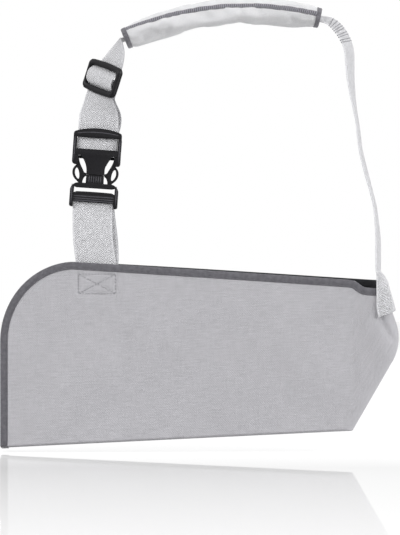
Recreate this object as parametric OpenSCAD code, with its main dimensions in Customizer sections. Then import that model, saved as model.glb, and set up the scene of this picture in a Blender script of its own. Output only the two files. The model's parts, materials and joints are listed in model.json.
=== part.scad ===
// Arm sling: a cloth pouch for the forearm, hung from a webbing strap that passes over the
// shoulder inside a padded sleeve. The strap has a side-release buckle and a tri-glide slider.
// X runs from the hand end (-) to the elbow (+), Y towards the wearer, Z up.
// The origin is the middle of the shoulder pad's underside.

/* [Pouch] */
// Distance from the pad's underside down to the lowest corner, at the hand end
pouch_drop = 421; // [380:1:470]
// Distance from the shoulder centre to the hand end of the pouch
hand_reach = 220; // [190:1:260]
// Height of the pouch at its hand end
hand_h = 186; // [170:1:220]
// Length of the straight mouth edge, from the round corner towards the elbow
mouth_len = 279; // [255:1:283]
// Slope of the mouth, falling towards the elbow
mouth_slope = 3.75; // [2:0.25:5]
// Slope of the bottom fold, rising towards the elbow
bottom_slope = 2.8; // [1:0.1:4]
// Horizontal radius of the round corner above the hand
corner_rx = 75; // [50:1:90]
// Vertical radius of the round corner above the hand
corner_rz = 79; // [50:1:90]
// Radius of the elbow end
elbow_r = 47.4; // [40:0.2:55]
// Distance from the shoulder centre to the outermost point of the elbow
elbow_reach = 177; // [174:1:190]
// Distance from the pad's underside down to the middle of the elbow
elbow_drop = 311; // [306:1:320]
// Inside depth of the pouch, front to back
pouch_gap = 24; // [20:1:32]
// Thickness of the pouch cloth with its lining
panel_t = 2; // [1.5:0.1:2.6]
// Dip of the front panel's mouth beside the elbow strap
mouth_dip = 10; // [6:1:12]

/* [Bindings and stitching] */
// Visible width of the binding tape
bind_w = 7; // [5:0.5:9]
// Thickness of the binding tape
bind_t = 0.6; // [0.4:0.1:0.8]
// Width of a stitched line
thread_w = 0.8; // [0.5:0.1:1.2]
// Height of a stitched line above the cloth
thread_t = 0.4; // [0.3:0.1:0.6]
// Width of the crossed box stitched on the front panel
box_w = 37; // [30:1:38]
// Height of the crossed box stitched on the front panel
box_h = 18; // [14:1:22]

/* [Webbing] */
// Width of the webbing
web_w = 40; // [38:0.5:40]
// Thickness of the webbing
web_t = 1.6; // [1.2:0.1:1.8]
// Length of webbing sewn inside the front panel
sewn_len = 28; // [24:1:34]
// Gap left between cloth pieces that lie on each other
lay_gap = 0.3; // [0.2:0.05:0.4]

/* [Buckle] */
// Outside width of both buckle halves
buckle_w = 48; // [48:0.5:52]
// Front-to-back depth of the buckle
buckle_d = 11; // [11:0.5:13]
// Wall of the buckle's front and back plates
plate_t = 2.2; // [1.8:0.1:2.4]
// Width of the side bars beside the webbing slots
side_bar = 3.5; // [3:0.1:3.6]
// Lean of the buckle towards the elbow side
buckle_lean = 4; // [0:0.5:6]
// Radius of the round bars that the webbing loops on
loop_bar_r = 2; // [1.6:0.1:2.2]
// Clearance between the buckle's moving parts
buckle_fit = 0.3; // [0.2:0.05:0.4]
// Thickness of the pinch arms and their loops, front to back
arm_d = 4.4; // [3.6:0.1:5]

/* [Slider] */
// Outside width of the tri-glide slider
slider_w = 48; // [48:0.5:52]
// Outside height of the slider
slider_h = 28; // [27:0.5:32]
// Thickness of the slider's bars
slider_t = 3.2; // [2.6:0.1:3.6]
// Lean of the slider towards the shoulder pad
slider_lean = 18; // [10:1:24]
// Turn of the slider about the strap
slider_turn = 45; // [30:1:55]

/* [Shoulder pad] */
// Length of the shoulder pad along its underside arc
pad_len = 196; // [170:1:210]
// Front-to-back width of the pad
pad_w = 62; // [56:1:80]
// Height of the pad
pad_h = 27; // [22:1:32]
// Radius of the strap's arc through the pad
pad_r = 328; // [300:1:380]
// Lean of the pad, with its hand end lower
pad_lean = 6; // [0:0.5:7]
// Thickness of the pad's cover
cover_t = 1.4; // [1:0.1:2]
// Width of the binding on the pad's ends
pad_bind_w = 4; // [3:0.5:6]

/* [Hidden] */

cloth_grey = [0.71, 0.71, 0.73];
bind_grey = [0.41, 0.40, 0.42];
web_grey = [0.77, 0.77, 0.78];
plastic = [0.16, 0.16, 0.18];
thread_grey = [0.68, 0.68, 0.70];
big = 1000;
arc_n = 24;

// ---- pouch geometry ----
fold_r = pouch_gap / 2 + panel_t;
front_y = -fold_r;
back_y = fold_r;
hand_x = -hand_reach;
low_z = -pouch_drop;
corner_z = low_z + hand_h - corner_rz;
top_z = low_z + hand_h;
corner_x = hand_x + corner_rx;
mouth_x = corner_x + mouth_len;
mouth_z = top_z - mouth_len * tan(mouth_slope);
elbow_cx = elbow_reach - elbow_r;
elbow_cz = -elbow_drop;
elbow_a0 = 20;
elbow_a1 = -30;
elbow_up = 43;
heel_len = 80;
crease_x = 150;
crease_z = top_z - (crease_x - corner_x) * tan(mouth_slope);
crease_a = atan2(crease_z - low_z - fold_r, crease_x - hand_x);
crease_gap = 0.3;

function arc(cx, cz, rx, rz, a0, a1) =
    [for (i = [0:arc_n]) let (a = a0 + (a1 - a0) * i / arc_n) [cx + rx * cos(a), cz + rz * sin(a)]];

// Hand end, round corner and mouth, moved inward by d
function bound_edge(d) = concat(
    [[hand_x + d, low_z - 1]],
    arc(corner_x, corner_z, corner_rx - d, corner_rz - d, 180, 90 + mouth_slope / 2));

// The mouth's end beside the elbow, straight on the back panel and dipped on the front one
function back_mouth(d) = [[mouth_x, mouth_z - d], [elbow_top(d)[0], mouth_z - d - 1.6]];
function front_mouth(d) = [
    [mouth_x, mouth_z - d],
    [mouth_x + mouth_dip * 0.8, mouth_z - mouth_dip - d],
    [elbow_top(d)[0] + (mouth_dip - 0.6) * tan(elbow_a0), mouth_z - mouth_dip - 1 - d]
];

// Elbow end: a slanting top, a round end and a slanting heel, moved inward by d
function elbow_top(d) = [
    elbow_cx + (elbow_r - d) * cos(elbow_a0) - elbow_up * sin(elbow_a0),
    elbow_cz + (elbow_r - d) * sin(elbow_a0) + elbow_up * cos(elbow_a0)
];
function heel(d) = [
    elbow_cx + (elbow_r - d) * cos(elbow_a1) + (heel_len + 30) * sin(elbow_a1),
    elbow_cz + (elbow_r - d) * sin(elbow_a1) - (heel_len + 30) * cos(elbow_a1)
];
function elbow_edge(d) =
    concat(arc(elbow_cx, elbow_cz, elbow_r - d, elbow_r - d, elbow_a0, elbow_a1), [heel(d)]);

// Solid between two planes across the sling, from an outline seen from the front
module across(y0, y1) {
    translate([0, y1, 0]) rotate([90, 0, 0]) linear_extrude(y1 - y0) children();
}

// Everything below a line parallel to the bottom edge
module below_fold(rise) {
    translate([hand_x, 0, low_z]) rotate([0, -bottom_slope, 0])
        translate([-big / 2, -big / 2, -big + rise]) cube([2 * big, big, big]);
}

// The two sides of the crease that the mouth flap folds back on
module above_crease(gap) {
    translate([hand_x, 0, low_z + fold_r]) rotate([0, -crease_a, 0])
        translate([-big / 2, -big / 2, gap]) cube([2 * big, big, big]);
}
module below_crease(gap) {
    translate([hand_x, 0, low_z + fold_r]) rotate([0, -crease_a, 0])
        translate([-big / 2, -big / 2, -big - gap]) cube([2 * big, big, big]);
}

module front_outline(d) {
    polygon(concat(bound_edge(d), front_mouth(d), elbow_edge(0), [[hand_x + d, low_z - 1]]));
}
module back_outline(d) {
    polygon(concat(bound_edge(d), back_mouth(d), elbow_edge(0), [[hand_x + d, low_z - 1]]));
}

// Cloth panel with a rim that the binding folds over
module front_panel() {
    color(cloth_grey) difference() {
        union() {
            across(front_y, front_y + panel_t) front_outline(bind_w);
            across(front_y + bind_t, front_y + panel_t) front_outline(bind_t);
        }
        below_fold(fold_r);
    }
}

module back_sheet() {
    difference() {
        union() {
            across(back_y - panel_t, back_y) back_outline(bind_w);
            across(back_y - panel_t, back_y - bind_t) back_outline(bind_t);
        }
        below_fold(fold_r);
    }
}

module back_panel() {
    color(cloth_grey) intersection() {
        back_sheet();
        below_crease(crease_gap / 2);
    }
}

module mouth_flap() {
    color(cloth_grey) intersection() {
        back_sheet();
        above_crease(crease_gap / 2);
    }
}

// Round bar along the bottom edge
module fold_bar(r, len) {
    translate([hand_x, 0, low_z]) rotate([0, -bottom_slope, 0]) translate([0, 0, fold_r])
        rotate([0, 90, 0]) cylinder(h = len, r = r, $fn = 64);
}

// Space inside the elbow's outline, moved inward by d
module inside_elbow(d) {
    across(-big, big) polygon(concat(
        [[hand_x - 10, mouth_z + big / 2], [elbow_top(d)[0], mouth_z + big / 2], elbow_top(d)],
        elbow_edge(d), [[hand_x - 10, heel(d)[1]]]));
}

// Rounded fold that joins the two panels along the bottom
module bottom_fold() {
    color(cloth_grey) difference() {
        intersection() {
            fold_bar(fold_r, hand_reach + elbow_reach);
            below_fold(fold_r);
            inside_elbow(0);
        }
        translate([-1, 0, 0]) fold_bar(fold_r - panel_t, hand_reach + elbow_reach);
    }
}

// Sewn end wall round the elbow, between the panels
module elbow_end() {
    outer = concat([elbow_top(0) - [0, 2]], elbow_edge(0));
    inner = concat([elbow_top(panel_t) - [0, 2]], elbow_edge(panel_t));
    color(cloth_grey) difference() {
        across(front_y + panel_t, back_y - panel_t)
            polygon(concat(outer, [for (i = [len(inner) - 1:-1:0]) inner[i]]));
        difference() {
            below_fold(fold_r);
            fold_bar(fold_r - panel_t - 0.1, hand_reach + elbow_reach);
        }
        across(-big, big) polygon([
            [crease_x - 2, mouth_z - mouth_dip - 2], [crease_x - 2, mouth_z + 20],
            [elbow_reach, mouth_z + 20], [elbow_reach, mouth_z - mouth_dip - 2]
        ]);
    }
}

// Binding tape folded over a panel's edge; its far side lies flush in the panel's rim
module binding_band(outer, inner, slot, y0, y1, rim0, rim1) {
    difference() {
        across(y0, y1) polygon(concat(outer, [for (i = [len(inner) - 1:-1:0]) inner[i]]));
        across(rim0, rim1) polygon(concat(slot, [for (i = [len(inner) - 1:-1:0]) inner[i]]));
    }
}

module front_binding() {
    color(bind_grey) difference() {
        binding_band(
            concat(bound_edge(0), front_mouth(0)), concat(bound_edge(bind_w), front_mouth(bind_w)),
            concat(bound_edge(bind_t), front_mouth(bind_t)),
            front_y, front_y + panel_t + bind_t, front_y + bind_t, front_y + panel_t);
        below_fold(fold_r);
        translate([elbow_top(0)[0] - 3, -big / 2, -big]) cube([big, big, big]);
    }
}

module back_band() {
    difference() {
        binding_band(
            concat(bound_edge(0), back_mouth(0)), concat(bound_edge(bind_w), back_mouth(bind_w)),
            concat(bound_edge(bind_t), back_mouth(bind_t)),
            back_y - panel_t - bind_t, back_y, back_y - panel_t, back_y - bind_t);
        below_fold(fold_r);
    }
}

module flap_binding() {
    color(bind_grey) intersection() {
        back_band();
        above_crease(crease_gap / 2);
        translate([-big, -big / 2, -big]) cube([big + mouth_x - 20, big, big]);
    }
}

module back_binding() {
    color(bind_grey) intersection() {
        back_band();
        below_crease(crease_gap / 2);
        translate([mouth_x - 10, -big / 2, -big]) cube([big, big, big]);
    }
}

// ---- buckle geometry ----
// Local frame of the buckle: u across, v along its axis, both seen from the front
buckle_pos = [-126, -142];
loop_y = 1.2;
loop_in = loop_bar_r + buckle_fit;
loop_offset = loop_in + web_t / 2;
strap_y = front_y + panel_t + bind_t + lay_gap;
buckle_y = strap_y + web_t / 2 + loop_offset - loop_y;
female_bar_v = 16.5;
male_bar_v = -29.5;
pivot_u = 14;
pivot_v = -14.6;
pivot_r = 1.8;
inner_w = buckle_w - 2 * side_bar;
half_w = buckle_w / 2;
half_d = buckle_d / 2;
half_in = half_d - plate_t;
female_low = 3.3;
female_top = 40;
window_low = 19;
window_h = 11.5;
guide_low = -6;
rear_low = 12.6;
female_r = 3;
female_wall = 2.5;
waist = 8.8;
waist_r = 22.8;
waist_v = -4;
throat_top = 14.5;
rear_throat_top = 9.6;
latch_u = 19.2;
latch_h = 2.7;
male_low = -39;
male_top = -14.8;
male_r = 8;
male_foot_r = 2;
slot_low = -26;
slot_h = 7.6;
front_bar_low = -34;
tongue_w = 15;
tongue_top = 11.5;
tongue_tip = 2.5;
tongue_rib = 1;
tongue_pitch = 2.4;
strap_out_v = male_low - 2;
strap_ease = 0.8;
hook_out = 21.3;

function along_u(u, v) =
    [u * cos(buckle_lean) + v * sin(buckle_lean), -u * sin(buckle_lean) + v * cos(buckle_lean)];

// ---- sewn lines ----
strap_x = (buckle_pos + along_u(0, male_bar_v))[0] + 3.5;
box_top = top_z - (strap_x - corner_x) * tan(mouth_slope) - bind_w - 5;
box_z = box_top - box_h / 2;

module seam(x0, z0, x1, z1, y) {
    run = norm([x1 - x0, z1 - z0]);
    translate([x0, y - thread_t, z0]) rotate([0, -atan2(z1 - z0, x1 - x0), 0])
        translate([0, 0, -thread_w / 2]) cube([run, thread_t, thread_w]);
}

module box_stitch() {
    x0 = strap_x - box_w / 2;
    x1 = strap_x + box_w / 2;
    z0 = box_z - box_h / 2;
    z1 = box_z + box_h / 2;
    color(thread_grey) {
        seam(x0, z0, x1, z0, front_y);
        seam(x0, z1, x1, z1, front_y);
        seam(x0, z0, x0, z1, front_y);
        seam(x1, z0, x1, z1, front_y);
        seam(x0, z0, x1, z1, front_y);
        seam(x0, z1, x1, z0, front_y);
    }
}

// ---- buckle ----

module on_buckle() {
    translate([buckle_pos[0], buckle_y, buckle_pos[1]]) rotate([0, buckle_lean, 0]) children();
}

module rounded(u0, v0, u1, v1, r) {
    for (u = [u0 + r, u1 - r]) for (v = [v0 + r, v1 - r]) translate([u, v]) circle(r, $fn = 32);
    translate([u0 + r, v0]) square([u1 - u0 - 2 * r, v1 - v0]);
    translate([u0, v0 + r]) square([u1 - u0, v1 - v0 - 2 * r]);
}

// Plate with a narrow waist between two open sickle windows, and a shoulder on each side
module female_plate(v_top, throat) {
    window_out = half_w - side_bar - 2.5;
    difference() {
        translate([-half_w, guide_low]) square([buckle_w, v_top - guide_low]);
        for (s = [-1, 1]) {
            intersection() {
                translate([s * (waist + waist_r), waist_v]) circle(waist_r, $fn = 96);
                translate([s > 0 ? 0 : -window_out, throat - 2 * half_w]) square([window_out, 2 * half_w]);
            }
            translate([s > 0 ? waist : -half_w - 1, guide_low - 1])
                square([half_w + 1 - waist, female_low - guide_low + 1]);
        }
    }
}

// Waisted lower end of a plate, which guides the tongue
module guide_plate(throat) {
    intersection() {
        female_plate(rear_low - 0.6, throat);
        translate([-half_w / 2, guide_low]) square([half_w, -2 * guide_low]);
    }
}

module buckle_female() {
    color(plastic) on_buckle() {
        difference() {
            across(-half_d, half_d) rounded(-half_w, female_low, half_w, female_top, female_r);
            across(-half_in, half_in) translate([-half_w + female_wall, -1])
                square([buckle_w - 2 * female_wall, window_low + 1]);
            across(-half_d - 1, half_d + 1) translate([-inner_w / 2, window_low]) square([inner_w, window_h]);
            across(-half_d - 1, -half_in) difference() {
                translate([-half_w - 1, 0]) square([buckle_w + 2, window_low - 0.1]);
                female_plate(window_low, throat_top);
            }
            across(half_in, half_d + 1) difference() {
                translate([-half_w - 1, 0]) square([buckle_w + 2, window_low - 0.1]);
                female_plate(rear_low, rear_throat_top);
            }
            across(plate_t, half_d + 1) translate([-inner_w / 2, rear_low]) square([inner_w, female_top]);
            across(-half_in, half_d + 1) translate([-inner_w / 2, rear_low])
                square([inner_w, female_bar_v + 2 * loop_bar_r - rear_low]);
            across(-half_in + 0.2, half_d + 1) translate([-half_w - 1, window_low + window_h - 0.5])
                square([buckle_w + 2, female_top]);
        }
        across(-half_d, -half_in) guide_plate(throat_top);
        across(half_in, half_d) guide_plate(rear_throat_top);
        for (s = [-1, 1]) across(-half_in, half_in)
            translate([s > 0 ? latch_u : -half_w + female_wall - 0.1, female_low])
                square([half_w - latch_u - female_wall + 0.1, latch_h]);
        translate([-inner_w / 2 - 2, loop_y, female_bar_v]) rotate([0, 90, 0])
            cylinder(h = inner_w + 4, r = loop_bar_r, $fn = 32);
    }
}

module buckle_male() {
    color(plastic) on_buckle() {
        difference() {
            across(-half_d, half_d) union() {
                rounded(-half_w, male_low, half_w, male_low + 19, male_foot_r);
                rounded(-half_w, male_low + 1, half_w, male_top, male_r);
            }
            across(-half_d - 1, half_d + 1) translate([-inner_w / 2, slot_low]) square([inner_w, slot_h]);
            across(-half_d - 1, half_d + 1) translate([-inner_w / 2, male_low - 1])
                square([inner_w, front_bar_low - male_low + 1]);
            across(-half_d + plate_t, half_d + 1) translate([-inner_w / 2, male_low - 1])
                square([inner_w, slot_low + slot_h - male_low]);
            for (s = [-1, 1]) across(-arm_d / 2 - buckle_fit, arm_d / 2 + buckle_fit)
                translate([s * pivot_u, pivot_v]) circle(pivot_r + buckle_fit, $fn = 32);
        }
        across(-half_in + buckle_fit, half_in - buckle_fit) polygon([
            [-tongue_w / 2, male_top - 0.2], [tongue_w / 2, male_top - 0.2],
            [tongue_w / 2, tongue_top - tongue_tip], [tongue_w / 2 - 1.2 * tongue_tip, tongue_top],
            [1.2 * tongue_tip - tongue_w / 2, tongue_top], [-tongue_w / 2, tongue_top - tongue_tip]]);
        for (i = [-2:2]) across(-half_in - buckle_fit, -half_in + buckle_fit)
            translate([i * tongue_pitch - tongue_rib / 2, male_top - 0.2])
                square([tongue_rib, guide_low - male_top - 0.3]);
        translate([-inner_w / 2 - 2, loop_y, male_bar_v]) rotate([0, 90, 0])
            cylinder(h = inner_w + 4, r = loop_bar_r, $fn = 32);
    }
}

// Pinch arm: a curved spine with an open finger loop outside and a latch hook at the top
module arm_shape() {
    spine = [[pivot_u, pivot_v, pivot_r], [12.6, -6, 1.6], [16.6, 4.6, 1.5], [17.6, 10.6, 1.3]];
    loop = [[pivot_u + 1.6, pivot_v + 1.4, 1], [20.8, -10, 1], [22, -4, 1.1], [19.8, 1.4, 1], [16.4, 3.6, 1]];
    for (i = [0:len(spine) - 2]) hull() {
        translate([spine[i][0], spine[i][1]]) circle(spine[i][2], $fn = 24);
        translate([spine[i + 1][0], spine[i + 1][1]]) circle(spine[i + 1][2], $fn = 24);
    }
    for (i = [0:len(loop) - 2]) hull() {
        translate([loop[i][0], loop[i][1]]) circle(loop[i][2], $fn = 24);
        translate([loop[i + 1][0], loop[i + 1][1]]) circle(loop[i + 1][2], $fn = 24);
    }
    hook_low = female_low + latch_h + buckle_fit;
    polygon([[17, hook_low], [hook_out, hook_low], [hook_out, 8.6], [17.8, 11.9], [17, 11.9]]);
}

module arm_left() {
    color(plastic) on_buckle() across(-arm_d / 2, arm_d / 2) mirror([1, 0]) arm_shape();
}

module arm_right() {
    color(plastic) on_buckle() across(-arm_d / 2, arm_d / 2) arm_shape();
}

// ---- webbing ----
function lerp(a, b, t) = a + (b - a) * t;
function unit(v) = v / norm(v);
function bezier(p, t) =
    p[0] * pow(1 - t, 3) + p[1] * 3 * t * pow(1 - t, 2) + p[2] * 3 * t * t * (1 - t) + p[3] * pow(t, 3);
// Stations of a ribbon along a Bezier curve; the width direction turns from w0 to w1, sooner with haste
function curve(p, w0, w1, n, first = 0, haste = 1) =
    [for (i = [first:n]) let (k = min(1, haste * i / n))
        [bezier(p, i / n), unit(lerp(w0, w1, (1 - cos(180 * k)) / 2))]];
function tangent(st, i) = unit(st[min(i + 1, len(st) - 1)][0] - st[max(i - 1, 0)][0]);
function face_dir(st, i) = unit(cross(tangent(st, i), st[i][1]));
function side_dir(st, i) = cross(face_dir(st, i), tangent(st, i));

// Flat ribbon swept along its stations, moved off its centre line by rise
module ribbon(st, w, t, rise = 0) {
    n = len(st);
    corners = [[-1, -1], [1, -1], [1, 1], [-1, 1]];
    points = [for (i = [0:n - 1]) for (c = corners)
        st[i][0] + side_dir(st, i) * c[0] * w / 2 + face_dir(st, i) * (rise + c[1] * t / 2)];
    sides = [for (i = [0:n - 2]) for (k = [0:3]) let (a = 4 * i + k, b = 4 * i + (k + 1) % 4)
        each [[a, a + 4, b], [b, a + 4, b + 4]]];
    polyhedron(points, concat(sides, [[0, 1, 2], [0, 2, 3]],
        [[4 * n - 4, 4 * n - 2, 4 * n - 3], [4 * n - 4, 4 * n - 1, 4 * n - 2]]));
}

// Half of a loop of webbing round a bar, on the side given by half
module half_loop(v, half) {
    on_buckle() translate([-web_w / 2, loop_y, v]) rotate([0, 90, 0]) difference() {
        cylinder(h = web_w, r = loop_in + web_t, $fn = 48);
        translate([0, 0, -1]) cylinder(h = web_w + 2, r = loop_in, $fn = 48);
        translate([half > 0 ? 0 : -20, -10, -1]) cube([20, 20, web_w + 2]);
    }
}

sewn_z = box_z - box_h / 2 - 3;
join_z = top_z - 3;

// Loop of webbing on the lower buckle half, sewn inside the front panel
module lower_strap() {
    rear = loop_y + loop_offset;
    rear_y = strap_y + 1.5 * web_t + lay_gap / 3;
    side = [for (s = [-1, 1]) [for (v = [male_bar_v, strap_out_v]) buckle_pos + along_u(s * web_w / 2, v)]];
    color(web_grey) {
        half_loop(male_bar_v, 1);
        across(strap_y, strap_y + web_t) polygon([
            side[0][0], side[1][0], side[1][1],
            [strap_x + web_w / 2, sewn_z], [strap_x - web_w / 2, sewn_z], side[0][1]]);
        ribbon([
            [buckle_pt(0, rear, male_bar_v + 0.2), buckle_u], [buckle_pt(0, rear, male_bar_v - 1), buckle_u],
            [buckle_pt(0, rear - strap_ease, strap_out_v), buckle_u],
            [[strap_x, rear_y, join_z], [1, 0, 0]], [[strap_x, rear_y, sewn_z], [1, 0, 0]]], web_w, web_t);
    }
}

// ---- slider ----
slider_pos = [-119, -13, -52];
slider_pitch = 6.5;
bar_r = 1.3;
frame_bar = 3.5;
end_in = bar_r + 0.2;
wrap_r = end_in + web_t + 0.3 + web_t / 2;
rear_d = 3.1;
tail_d = 5.4;

function turn_z(p, a) = [p[0] * cos(a) - p[1] * sin(a), p[0] * sin(a) + p[1] * cos(a), p[2]];
function turn_x(p, a) = [p[0], p[1] * cos(a) - p[2] * sin(a), p[1] * sin(a) + p[2] * cos(a)];
function turn_y(p, a) = [p[0] * cos(a) + p[2] * sin(a), p[1], -p[0] * sin(a) + p[2] * cos(a)];
// Direction and point given in the slider's own frame: across, depth, along the strap
function slider_dir(p) = turn_y(turn_x(turn_z(p, -slider_turn), slider_pitch), slider_lean);
function slider_pt(p) = slider_pos + slider_dir(p);

module on_slider() {
    translate(slider_pos) rotate([0, slider_lean, 0]) rotate([slider_pitch, 0, 0])
        rotate([0, 0, -slider_turn]) children();
}

module slider() {
    inner = slider_w - 2 * side_bar;
    color(plastic) on_slider() {
        difference() {
            across(-slider_t / 2, slider_t / 2)
                rounded(-slider_w / 2, -slider_h / 2, slider_w / 2, slider_h / 2, 4);
            across(-slider_t, slider_t) rounded(-inner / 2, -slider_h / 2 + frame_bar,
                inner / 2, slider_h / 2 - frame_bar, 1.5);
        }
        translate([-inner / 2 - 1, 0, 0]) rotate([0, 90, 0]) cylinder(h = inner + 2, r = bar_r, $fn = 32);
    }
}

wrap_end = slider_h / 2 + 1;
wrap_turn = slider_h / 2 - 2.6;
wrap_a = acos(wrap_r / norm([wrap_turn, rear_d])) - atan2(rear_d, wrap_turn);
wrap_path = concat(
    [[wrap_end, rear_d], [wrap_turn, rear_d]],
    [for (i = [0:8]) let (a = wrap_a + (180 - 2 * wrap_a) * i / 8) [wrap_r * cos(a), -wrap_r * sin(a)]],
    [[-wrap_turn, rear_d], [-wrap_end, rear_d]]);

// Webbing threaded behind the outer bars and over the middle bar
module slider_wrap() {
    color(web_grey) ribbon(
        [for (p = wrap_path) [slider_pt([0, p[1], p[0]]), slider_dir([1, 0, 0])]], web_w, web_t);
}

// Webbing end folded round the middle bar, with its tail behind
module end_loop() {
    mid = end_in + web_t / 2;
    path = concat(
        [for (i = [0:10]) let (a = 200 - 200 * i / 10) [-mid * cos(a - 110), -mid * sin(a - 110)]],
        [[-wrap_turn + 4.5, 4.4], [-wrap_turn, tail_d], [-wrap_end, tail_d]]);
    color(web_grey) ribbon(
        [for (p = path) [slider_pt([0, p[1], p[0]]), slider_dir([1, 0, 0])]], web_w, web_t);
}

// Point on the buckle's own frame
function buckle_pt(u, d, v) = let (p = along_u(u, v))
    [buckle_pos[0] + p[0], buckle_y + d, buckle_pos[1] + p[1]];
buckle_u = [cos(buckle_lean), 0, -sin(buckle_lean)];
buckle_v = [sin(buckle_lean), 0, cos(buckle_lean)];

// Doubled webbing from the upper buckle half to the slider
module layer(side, d_top) {
    d = loop_y + side * loop_offset;
    bottom = buckle_pt(0, d, female_bar_v - 0.2);
    start = buckle_pt(0, d, 41);
    end = slider_pt([0, d_top, -wrap_end - 0.3]);
    up = slider_dir([0, 0, 1]);
    ribbon(concat([[bottom, buckle_u]],
        curve([start, start + buckle_v * 12, end - up * 12, end - up], buckle_u, slider_dir([1, 0, 0]), 10),
        [[end, slider_dir([1, 0, 0])]]), web_w, web_t);
}

module buckle_loop() {
    color(web_grey) {
        half_loop(female_bar_v, -1);
        layer(-1, rear_d);
        layer(1, tail_d);
    }
}

// ---- shoulder ----
pad_cx = (pad_r - pad_h / 2) * sin(pad_lean);
pad_cz = -(pad_r - pad_h / 2) * cos(pad_lean);
pad_a = pad_len / (pad_r - pad_h / 2) * 90 / PI;
run_a = pad_a + 0.4;
// Point on the strap's arc and direction along it, at an angle from the pad's middle
function on_arc_pt(a) = [pad_cx - pad_r * sin(a + pad_lean), 0, pad_cz + pad_r * cos(a + pad_lean)];
function on_arc_dir(a) = [cos(a + pad_lean), 0, sin(a + pad_lean)];

// Solid swept about the middle of the strap's arc, from angle a0 to a1 off the pad's middle
module on_arc(a0, a1) {
    translate([pad_cx, 0, pad_cz]) rotate([90, 0, 0]) rotate([0, 0, 90 + a0 + pad_lean])
        rotate_extrude(angle = a1 - a0, $fn = 180) translate([pad_r, 0]) children();
}

// Section of the pad: flat above and below, round at the front and back
module pad_section(grow) {
    flat = pad_w - pad_h;
    translate([-pad_h / 2 - grow, -flat / 2]) square([pad_h + 2 * grow, flat]);
    for (s = [-1, 1]) translate([0, s * flat / 2]) circle(pad_h / 2 + grow, $fn = 64);
}

module pad_cover() {
    color(cloth_grey) on_arc(-pad_a, pad_a) difference() {
        pad_section(0);
        pad_section(-cover_t);
    }
}

module pad_foam() {
    color("white") on_arc(-pad_a, pad_a) difference() {
        pad_section(-cover_t);
        square([web_t + 2 * lay_gap, web_w + 2], center = true);
    }
}

// Overlocked seam along the front of the pad, a little above its middle
module pad_seam() {
    seam_a = 26;
    color(bind_grey) on_arc(-pad_a + 1, pad_a - 1) intersection() {
        difference() {
            pad_section(bind_t);
            pad_section(0);
        }
        translate([0, (pad_w - pad_h) / 2]) rotate(90 - seam_a) translate([pad_h / 2 - 2, -1.8])
            square([5, 3.6]);
    }
}

module pad_binding(side) {
    w = pad_bind_w / pad_r * 180 / PI;
    t = bind_t / pad_r * 180 / PI;
    edge = side * (pad_a + t);
    color(bind_grey) {
        on_arc(min(edge, side * (pad_a - w)), max(edge, side * (pad_a - w))) difference() {
            pad_section(bind_t);
            pad_section(0);
        }
        on_arc(min(edge, side * pad_a), max(edge, side * pad_a)) difference() {
            pad_section(bind_t / 2);
            pad_section(-pad_bind_w);
        }
    }
}

module pad_binding_left() { pad_binding(1); }
module pad_binding_right() { pad_binding(-1); }

module pad_run() {
    color(web_grey) on_arc(-run_a, run_a) square([web_t, web_w], center = true);
}

module shoulder_run() {
    start = slider_pt([0, rear_d, wrap_end + 0.3]);
    end = on_arc_pt(run_a + 0.1);
    up = slider_dir([0, 0, 1]);
    color(web_grey) ribbon(concat([[start, slider_dir([1, 0, 0])]],
        curve([start + up, start + up * 12, end - on_arc_dir(run_a) * 10, end],
            slider_dir([1, 0, 0]), [0, -1, 0], 18, haste = 1.3)),
        web_w, web_t);
}

// Strap from the pad down to the elbow, hung edge-on
start_r = on_arc_pt(-run_a - 0.1);
bend_end = [127.8, 0, -30];
low_end = [154.5, 0, -200];
tab_top = [156, -1, -246];
function edge_on(a) = [-sin(a), -cos(a), 0];
bend = curve([start_r, start_r + on_arc_dir(-run_a) * 12, bend_end + [-0.5, 0, 15], bend_end],
    edge_on(0), edge_on(10), 14);
fall = curve([bend_end, bend_end - [-0.7, 0, 55], low_end + [-5, 0, 50], low_end],
    edge_on(10), edge_on(2), 16, 1);
foot = curve([low_end, low_end - [-2, 0, 15], tab_top + [0, 0, 14], tab_top], edge_on(2), edge_on(27), 8, 1);

module elbow_run() {
    color(web_grey) ribbon(concat(bend, fall, foot), web_w, web_t);
}

// Rows of stitching that close the strap's joint beside the pad
module bar_tack() {
    color(thread_grey) for (i = [5:2:11])
        ribbon([for (t = [0.3, 0.7]) lerp(bend[i], bend[i + 1], t)],
            web_w - 8, thread_t, (web_t + thread_t) / 2 + lay_gap);
}

// ---- elbow tab ----
tab_front = 13;
tab_len = 38;
tab_rise = 7;

module on_elbow() {
    translate([elbow_top(0)[0], 0, elbow_top(0)[1]]) rotate([0, -elbow_a0, 0]) children();
}

// Strap end folded round the pouch's elbow corner and sewn down
module elbow_tab() {
    out_y = front_y - lay_gap - web_t;
    color(web_grey) on_elbow() translate([0, 0, tab_rise - tab_len]) {
        translate([-tab_front, out_y, 0]) cube([tab_front + lay_gap + web_t, web_t, tab_len]);
        translate([lay_gap, out_y, 0]) cube([web_t, web_w - tab_front, tab_len]);
    }
}

module tab_stitch() {
    out_y = front_y - lay_gap - web_t;
    color(thread_grey) on_elbow() for (z = [tab_rise - tab_len + 3:5:-8])
        translate([-tab_front + 2, out_y - thread_t, z]) cube([tab_front - 3, thread_t, thread_w]);
}

front_panel();
back_panel();
mouth_flap();
bottom_fold();
elbow_end();
front_binding();
back_binding();
flap_binding();
box_stitch();
tab_stitch();
lower_strap();
buckle_loop();
shoulder_run();
pad_run();
elbow_run();
elbow_tab();
bar_tack();
slider_wrap();
end_loop();
slider();
buckle_female();
buckle_male();
arm_left();
arm_right();
pad_cover();
pad_foam();
pad_seam();
pad_binding_left();
pad_binding_right();
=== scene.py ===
import json
import math

import bpy
from mathutils import Matrix, Vector, noise
from mathutils.bvhtree import BVHTree


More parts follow.
